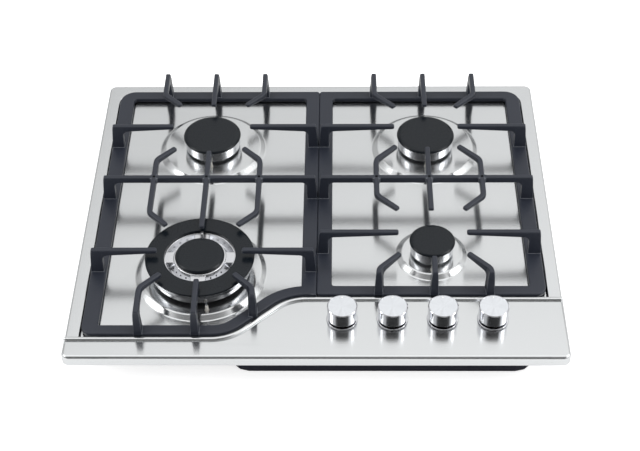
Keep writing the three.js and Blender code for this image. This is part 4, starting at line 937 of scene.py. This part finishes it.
def drill_ports(piece, tree, shade_dark_bore, centre, reach, size, count, group=1, pitch=0.0):
    """Bores a casting's gas ports, of size (width, height, depth), and leaves a plain mesh. Each group of
    ports sits in the middle of its own sector."""
    sector = tau * group / count
    width, height, depth = size
    inputs = {"Count": count, "Group": group, "Sector": sector, "Pitch": pitch,
              "Start": (sector - (group - 1) * pitch) / 2, "Centre": [c * MM for c in centre],
              "Reach": reach * MM, "Width": width * MM, "Height": height * MM, "Depth": depth * MM,
              "Finish": shade_dark_bore}
    modifier = piece.modifiers.new("ports", "NODES")
    modifier.node_group = tree
    for item in tree.interface.items_tree:
        if item.item_type == "SOCKET" and item.in_out == "INPUT" and item.name in inputs:
            modifier[item.identifier] = inputs[item.name]
    settled(piece)
    tidy(piece.data, CREASE_DEGREES)


def spigot(neck):
    """The profile of a casting's tube and of the neck that seats in the pad's hole. Heights are from the
    pad's top."""
    return [(TUBE_BORE, -14), (TUBE_RADIUS, -14), (TUBE_RADIUS, -0.3), (neck - 2.7, -0.3),
            (neck - 2.7, 2.7), (neck, 2.7)]


def raised(profile, height):
    return [(r, height + z) for r, z in profile]


def make_head(name, machined, shade_dark_bore, tree):
    """A plain burner head: its tube, spigot, floor and wall."""
    burner = BURNERS[name]
    x, y, radius = burner["x"], burner["y"], burner["cap"] - CAP_OVERHANG
    neck, wall, top = burner["hole"] - NECK_PLAY, radius - HEAD_WALL, 17.7
    profile = [*spigot(neck), (neck, 4, 0.8), (radius, 4, 1.1), (radius, top, 0.5), (wall, top, 0.5),
               (wall, 7, 1.5), (TUBE_RADIUS, 7, 0.5), (TUBE_RADIUS, 9), (TUBE_BORE, 9)]
    head = turned(name + "_head_casting", raised(eased(profile), PAD), machined, x, y)
    drill_ports(head, tree, shade_dark_bore, (x, y, PAD + 16.6), radius - 1.5, (0.9, 1.6, 5), 36)
    dressed(even(head), name + "_head", name + "_head_body")


def make_cap(name, bottom, radius, lip, enamel, x, y):
    """A pressed and enamelled cap: nearly flat, with an eased rim."""
    top = bottom + 4
    profile = [(0, top), (radius - 5, top, 9), (radius - 1.7, top - 1, 4), (radius, top - 2.8, 1.5),
               (radius - 0.4, bottom, 0.4), (lip, bottom), (lip, bottom - 1.2, 0.3), (0, bottom - 1.2)]
    return turned(name, eased(profile, steps=5), enamel, x, y, 120)


def make_web(name, x, y, angle, stations, foot, head, machined):
    """A cast web that runs outwards at an angle, through stations of (reach, top). Half its section is a
    foot of (half width, level) and a head of (half width, depth below the top)."""
    along = Vector((cos(angle), sin(angle), 0))
    across = Vector((-along.y, along.x, 0))
    rings = []
    for reach, top in stations:
        half = foot + [(width, top - depth) for width, depth in head]
        section = [(-width, level) for width, level in half] + half[::-1]
        rings.append([tuple(Vector((x, y, PAD + level)) + along * reach + across * width)
                      for width, level in section])
    return shown(name, *lofted(rings), machined, crease=40)


def make_crown(machined, shade_dark_bore, tree):
    """The triple-crown casting: two tiers outside, a channel, a V-shaped trough and the inner crown, with
    four bridges over the channel and a small upright rib on the rear one."""
    burner = BURNERS["front_left"]
    x, y = burner["x"], burner["y"]
    neck = burner["hole"] - NECK_PLAY
    under = [*spigot(neck), (neck, 4), (neck + 3, 4), (36, 6, 2), (60, 6, 1)]
    outer_tiers = [(60, 14.2, 0.3), (58.5, 15, 0.2), (63, 15, 0.3), (63, 22.2, 0.5), (60, 22.2, 0.4)]
    channel = [(56, 16.5, 1), (56, 9, 1), (45, 9, 1), (45, 22.2, 0.5), (41, 22.2, 0.5)]
    inner_crown = [(36.7, 13.5, 1.2), (31, 23.2, 0.8), (27.5, 23.7, 0.5), (27.5, 10, 1)]
    profile = [*under, *outer_tiers, *channel, *inner_crown, (TUBE_RADIUS, 10, 1), (TUBE_RADIUS, 12),
               (TUBE_BORE, 12)]
    casting = turned("casting", raised(eased(profile), PAD), machined, x, y, 120)
    drill_ports(casting, tree, shade_dark_bore, (x, y, PAD + 18.2), 33.2, (1.9, 1.9, 8), 16, 4, radians(13))
    drill_ports(casting, tree, shade_dark_bore, (x, y, PAD + 21), 61, (0.9, 1.5, 8), 48)
    bridge = (((28, 21.9), (28.6, 22.2), (40.8, 22.2), (41.6, 21.9)),
              [(9.6, 13), (9, 17)], [(9, 0.5), (8.5, 0)])
    rib = ((36, 25.6), (36.6, 26.2), (40, 26.2), (40.6, 25.6)), [(1.4, 21)], [(1.4, 0.5), (0.9, 0)]
    webs = [make_web("bridge", x, y, turn * pi / 2, *bridge, machined) for turn in range(4)]
    webs.append(make_web("rib", x, y, pi / 2, *rib, machined))
    crown = merged("triple_crown_casting", [casting, *webs])
    dressed(even(crown), "front_left_head", "cooktop")


def make_electrode(name, ceramic, metal):
    """A spark electrode: a glazed sleeve with a collar on the pad, and the wire through it."""
    x, y = electrode_place(name)
    collar, neck = 3.6, ELECTRODE_NECK
    sleeve = eased([(0, 58), (1.8, 58, 0.7), (1.9, 49.7), (collar, 49.7, 0.2), (collar, 46.7, 0.2),
                    (neck, 46.7), (neck, 37, 0.6), (0, 37)])
    wire = eased([(0, 31), (0.9, 31), (0.9, 63, 0.4), (0.5, 64, 0.2), (0, 64)])
    parts = [turned("sleeve", sleeve, ceramic, x, y, 24), turned("wire", wire, metal, x, y, 16)]
    dressed(even(merged(name + "_spark_electrode", parts)), name + "_electrode", "cooktop")


def make_plain_cap(name, enamel):
    """The cap of a plain burner. Its lip hangs inside the head's wall."""
    burner = BURNERS[name]
    lip = burner["cap"] - CAP_OVERHANG - HEAD_WALL - 0.6
    cap = make_cap(name + "_cap_plate", PAD + 18, burner["cap"], lip, enamel, burner["x"], burner["y"])
    dressed(even(cap), name + "_cap", name + "_cap_body")


def make_crown_caps(enamel):
    """The centre cap and the ring cap of the triple crown, and the three pegs that centre the ring."""
    burner = BURNERS["front_left"]
    x, y, radius = burner["x"], burner["y"], burner["cap"]
    centre = make_cap("centre_cap_plate", PAD + 24, radius, radius - 2.7, enamel, x, y)
    dressed(even(centre), "front_left_centre_cap", "front_left_centre_cap_body")
    low, high = PAD + 22.5, PAD + 25.5
    inner, outer = RING_CAP_BORE, RING_CAP_RADIUS
    profile = [(inner, low + 1), (inner, high, 0.7), (50, high), (outer - 2.7, high - 0.2, 1.5),
               (outer, high - 1.1, 0.8), (outer, low, 0.4), (inner, low, 0.4), (inner, low + 1)]
    ring = turned("ring_cap_plate", eased(profile)[:-1], enamel, x, y, 144)
    peg = [(0, low - 4), (1.5, low - 4), (2, low - 3.4), (2, low + 1), (0, low + 1)]
    angles = [pi / 2 + i * tau / 3 for i in range(3)]
    pegs = [turned("peg", peg, enamel, *polar(x, y, RING_CAP_PEGS, angle), 16) for angle in angles]
    dressed(even(merged("ring_cap", [ring, *pegs])), "front_left_ring_cap", "front_left_ring_cap_body")


def make_burners(machined, shade_dark_bore, enamel, ceramic, metal):
    tree = port_tree(12)
    for name in BURNERS:
        if name != "front_left":
            make_head(name, machined, shade_dark_bore, tree)
            make_plain_cap(name, enamel)
        make_electrode(name, ceramic, metal)
    make_crown(machined, shade_dark_bore, tree)
    make_crown_caps(enamel)


# ------------------------------ knobs

KNOB_LOW = 57.5
KNOB_TOP = 75
KNOB_RADIUS = 17.5
FACE_RADIUS = 16.2
FACE_LEVEL = 74.75
BEZEL_LOW = 53.3
BEZEL_HIGH = 54.1


def make_knobs(spun, polished, paint):
    """Turned knobs: a spun face inside a bright raised rim, a polished side and a hub inside."""
    shell_profile = eased([
        (FACE_RADIUS, FACE_LEVEL), (16.4, KNOB_TOP, 0.1), (16.7, KNOB_TOP, 0.1), (KNOB_RADIUS, 74.2, 0.3),
        (KNOB_RADIUS, 58.1, 0.3), (17.2, KNOB_LOW, 0.2), (15, KNOB_LOW, 0.2), (15, 70, 1), (0, 70)], steps=3)
    hub_profile = [(3.3, 58), (6, 58), (6, 70.5), (3.3, 70.5)]
    mark_profile = [(0, FACE_LEVEL - 0.05), (1.0, FACE_LEVEL - 0.05), (1.0, FACE_LEVEL + 0.05),
                    (0, FACE_LEVEL + 0.05)]
    bezel_profile = eased([
        (8, BEZEL_LOW), (8, BEZEL_HIGH, 0.2), (15.5, BEZEL_HIGH), (16.6, 54.3, 0.5), (18, BEZEL_HIGH, 0.5),
        (18.4, BEZEL_LOW, 0.2), (8, BEZEL_LOW)])[:-1]
    for i, x in enumerate(KNOBS, 1):
        parts = [turned("face", [(0, FACE_LEVEL), (FACE_RADIUS, FACE_LEVEL)], spun, x, KNOB_Y, 128),
                 turned("shell", shell_profile, polished, x, KNOB_Y, 128, crease=25),
                 turned("hub", hub_profile, polished, x, KNOB_Y, 32),
                 turned("mark", mark_profile, paint, x, KNOB_Y + 13.6, 20)]
        knob = merged(f"control_knob_{i}", parts)
        dressed(even(knob), f"knob_{i}", f"knob_body_{i}")
        bezel = turned(f"knob_ring_{i}", bezel_profile, polished, x, KNOB_Y)
        dressed(even(bezel), f"bezel_{i}", "cooktop")


def make_springs(zinc):
    """The coils between each valve's plug and its spindle's collar, each as tall as its imported node and
    carried on its plug. A pushed knob shortens the real coils; these keep their length.
    """
    turns, steps, sides = 3, 96, 8
    radius, wire, push = 4.6, 0.45, 3.0
    for i, x in enumerate(KNOBS, 1):
        lowest, highest = (corner.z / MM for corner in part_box(f"spring_{i}"))
        rings = []
        for k in range(steps + 1):
            turn = tau * turns * k / steps
            around = Vector((cos(turn), sin(turn), 0))
            middle = Vector((x, KNOB_Y, lowest + wire + k / steps * (highest - lowest - 2 * wire)))
            section = [(radius + across, up) for across, up in circle(0, 0, wire, sides)]
            rings.append([tuple(middle + around * across + Vector((0, 0, up))) for across, up in section])
        coil = shown(f"return_spring_{i}", *lofted(rings), zinc, crease=60)
        dressed(coil, f"spring_{i}", f"plug_body_{i}")
        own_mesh(coil)


# ------------------------------ finishes

def make_finishes():
    """Every finish of the cooktop, by name."""
    first_knob = (KNOBS[0] * MM, KNOB_Y * MM, 0)
    return {
        # Stainless steel sheet, brushed left to right: soft reflections that smear front to back.
        "steel": worked_metal("brushed_stainless_steel", "#dbddde", roughness=0.18, line_mm=0.45, run_mm=60,
                              stretch=0.85, bump=0.05, depth=0.8),
        # Burner heads: aluminium castings machined to a satin, with soft bright and dark bands.
        "machined": worked_metal("machined_aluminium", "#dcdde0", roughness=0.24, line_mm=0.6, run_mm=6,
                                 stretch=0.0, bump=0.05, depth=0.6),
        # Knob sides and rings: aluminium polished bright, with clear bands.
        "polished": worked_metal("polished_aluminium", "#dcdde1", roughness=0.07, line_mm=0.8, run_mm=8,
                                 stretch=0.0, bump=0.02, depth=0.4),
        # Bores of the gas ports, painted dark as painted shade for the shadow in each hole: each reads as a
        # dark dot.
        "shade_dark_bore": worked_metal("painted_shade_bore", "#38383b", roughness=0.6, line_mm=0.5, run_mm=1,
                             stretch=0.0, bump=0.2),
        # Knobs turned on a lathe: fine rings, and pale fans painted on the face as a painted reflection.
        "spun": turned_aluminium("spun_aluminium", "#e6e9ed", roughness=0.24, centre=first_knob,
                                 pitch=KNOB_PITCH * MM, groove_mm=0.5, stretch=0.8, bump=0.25),
        # Grey iron castings under a semi-matt dark enamel: a pebbled skin, with edges painted paler, partly
        # where pans rub them and partly as a painted highlight.
        "iron": coated("enamelled_cast_iron", "#282c36", roughness=0.4, grain_mm=1.3, bump=0.3, sheen=0.42,
                       wear_and_highlight_tone="#7c8189", edge_mm=1.1),
        # Pressed steel under a satin black enamel: smooth and even, with a soft sheen.
        "enamel": coated("satin_black_enamel", "#0e141a", roughness=0.28, grain_mm=0.8, bump=0.04,
                         sheen=0.26, coat=0.08, edge_mm=0.5),
        # Galvanised tray under a dark blue-grey baked paint.
        "tray": coated("dark_baked_paint", "#171826", roughness=0.5, grain_mm=0.9, bump=0.12, sheen=0.2),
        # Zinc plating: dull grey metal with a cloudy gloss.
        "zinc": worked_metal("zinc_plated_steel", "#9fa3a8", roughness=0.42, line_mm=3.0, run_mm=3,
                             stretch=0.0, bump=0.15),
        # Brass bar, turned and left bare.
        "brass": worked_metal("machined_brass", "#c3a257", roughness=0.3, line_mm=0.8, run_mm=8,
                              stretch=0.2, bump=0.1),
        # Die-cast aluminium, as it leaves the mould: matt, with a fine grain.
        "cast": worked_metal("cast_aluminium", "#b4b6b9", roughness=0.5, line_mm=1.0, run_mm=1,
                             stretch=0.0, bump=0.4),
        # Alumina with a clear glaze.
        "ceramic": coated("glazed_alumina", "#d2cfc8", roughness=0.25, grain_mm=0.7, bump=0.03, coat=0.5),
        # Moulded nylon with a spark-eroded texture.
        "plastic": coated("moulded_black_nylon", "#1f1f21", roughness=0.5, grain_mm=0.6, bump=0.2),
        # Closed-cell foam: matt and full of small pits.
        "foam": coated("closed_cell_foam", "#4b4b4d", roughness=0.85, grain_mm=0.9, bump=0.7),
        # Feet of silicone rubber.
        "rubber": coated("black_silicone_rubber", "#202124", roughness=0.62, grain_mm=0.7, bump=0.1),
        # A dot of white paint on each knob.
        "paint": coated("white_marking_paint", "#f2f2f0", roughness=0.5, grain_mm=0.4, bump=0.02),
    }


def finish_carried_nodes(finishes):
    """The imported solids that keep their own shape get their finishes."""
    plan = {"bottom_tray": "tray", "rim_seal": "foam", "gas_rail": "zinc", "gas_inlet": "brass",
            "mains_gland": "plastic", "ignition_module": "plastic"}
    for i in range(1, 5):
        plan |= {f"clamp_{i}": "zinc", f"spindle_{i}": "zinc"}
        plan |= {f"valve_plug_{i}": "brass", f"valve_{i}": "brass"}
    for name in BURNERS:
        plan |= {f"{name}_cup": "cast", f"{name}_gas_pipe": "cast"}
    for node, finish in plan.items():
        cad[node].data.materials.clear()
        cad[node].data.materials.append(finishes[finish])


# ------------------------------ floor and studio

FLOOR_HALF = 9000.0
FLOOR_LEVEL = -0.3
VIEWING_SIDE = (0, -0.722, 0.692)
WHITE = (1, 1, 1, 1)


def make_floor():
    """White paper under the cooktop: it keeps a soft shadow and shows as white around it."""
    seen_glow, mirrored_glow = 0.7, 0.1
    material, tree = new_material("white_paper_floor")
    fibre = add(tree, "ShaderNodeTexNoise", {"Scale": 1 / (4 * MM), "Detail": 2.0}).outputs["Fac"]
    normal = add(tree, "ShaderNodeBump", {"Height": fibre, "Strength": 0.02, "Distance": 0.0002}).outputs[0]
    paper = add(tree, "ShaderNodeBsdfDiffuse", {"Color": colour("#f2f2f2"), "Normal": normal})
    ray = add(tree, "ShaderNodeLightPath").outputs
    metal = reckon(tree, "MAXIMUM", ray["Is Glossy Ray"], ray["Is Transmission Ray"])
    faint = reckon(tree, "MULTIPLY", metal, mirrored_glow)
    glow = reckon(tree, "MULTIPLY_ADD", ray["Is Camera Ray"], seen_glow, faint)
    lift = add(tree, "ShaderNodeEmission", {"Color": WHITE, "Strength": glow})
    surface(tree, add(tree, "ShaderNodeAddShader", {0: paper.outputs[0], 1: lift.outputs[0]}))
    corners = [(x * FLOOR_HALF, y * FLOOR_HALF) for x, y in ((-1, -1), (1, -1), (1, 1), (-1, 1))]
    shown("floor", ring_of(corners, FLOOR_LEVEL), [(0, 1, 2, 3)], material)


def make_world():
    """A white studio, brightest overhead and to the right. Metal sees it as white too, but for the dark
    side from which it is viewed."""
    world = bpy.data.worlds.new("studio")
    bpy.context.scene.world = world
    world.use_nodes = True
    tree = world.node_tree
    tree.nodes.clear()
    way = add(tree, "ShaderNodeTexCoord").outputs["Generated"]
    ray = add(tree, "ShaderNodeLightPath").outputs
    metal = reckon(tree, "MAXIMUM", ray["Is Glossy Ray"], ray["Is Transmission Ray"])
    front = reckon_vector(tree, "DOT_PRODUCT", way, VIEWING_SIDE)
    lean = reckon_vector(tree, "DOT_PRODUCT", way, (0.3, 0, 1))
    wall = ranged(tree, lean, 0.55, 1.08, start=0.45, end=0.75)
    ceiling = ranged(tree, lean, 0.45, 1.15, end=0.9)
    # The world counts a ray's first mirror as depth 2: seen in one mirror alone, the dark side is only dim.
    dim = reckon(tree, "MULTIPLY", reckon(tree, "LESS_THAN", ray["Ray Depth"], 2.5), 0.2)
    opening = reckon(tree, "MAXIMUM", ranged(tree, front, 1.0, 0.02, start=0.77, end=0.84), dim)
    mirrored = reckon(tree, "MULTIPLY", metal, reckon(tree, "MULTIPLY", wall, opening))
    seen = reckon(tree, "MAXIMUM", mirrored, ray["Is Camera Ray"])
    matt = reckon(tree, "MULTIPLY", reckon(tree, "SUBTRACT", 1.0, metal), ceiling)
    sky = add(tree, "ShaderNodeBackground", {"Color": WHITE, "Strength": reckon(tree, "MAXIMUM", seen, matt)})
    add(tree, "ShaderNodeOutputWorld", {"Surface": sky.outputs[0]})


# ------------------------------ main

bpy.context.scene.view_settings.view_transform = "Standard"
place_camera()
finishes = make_finishes()
make_top_panel(finishes["steel"])
make_grates(finishes["iron"], finishes["rubber"])
make_burners(*(finishes[finish] for finish in ("machined", "shade_dark_bore", "enamel", "ceramic", "zinc")))
make_knobs(finishes["spun"], finishes["polished"], finishes["paint"])
make_springs(finishes["zinc"])
finish_carried_nodes(finishes)
make_floor()
make_world()
softbox("overhead_softbox", (0, 0.1, 2.1), (3.2, 2.2), 4)
softbox("left_softbox", (-1.9, -0.2, 1.4), (0.7, 1.2), 9)
softbox("right_softbox", (1.9, -0.3, 1.4), (0.7, 1.2), 11)
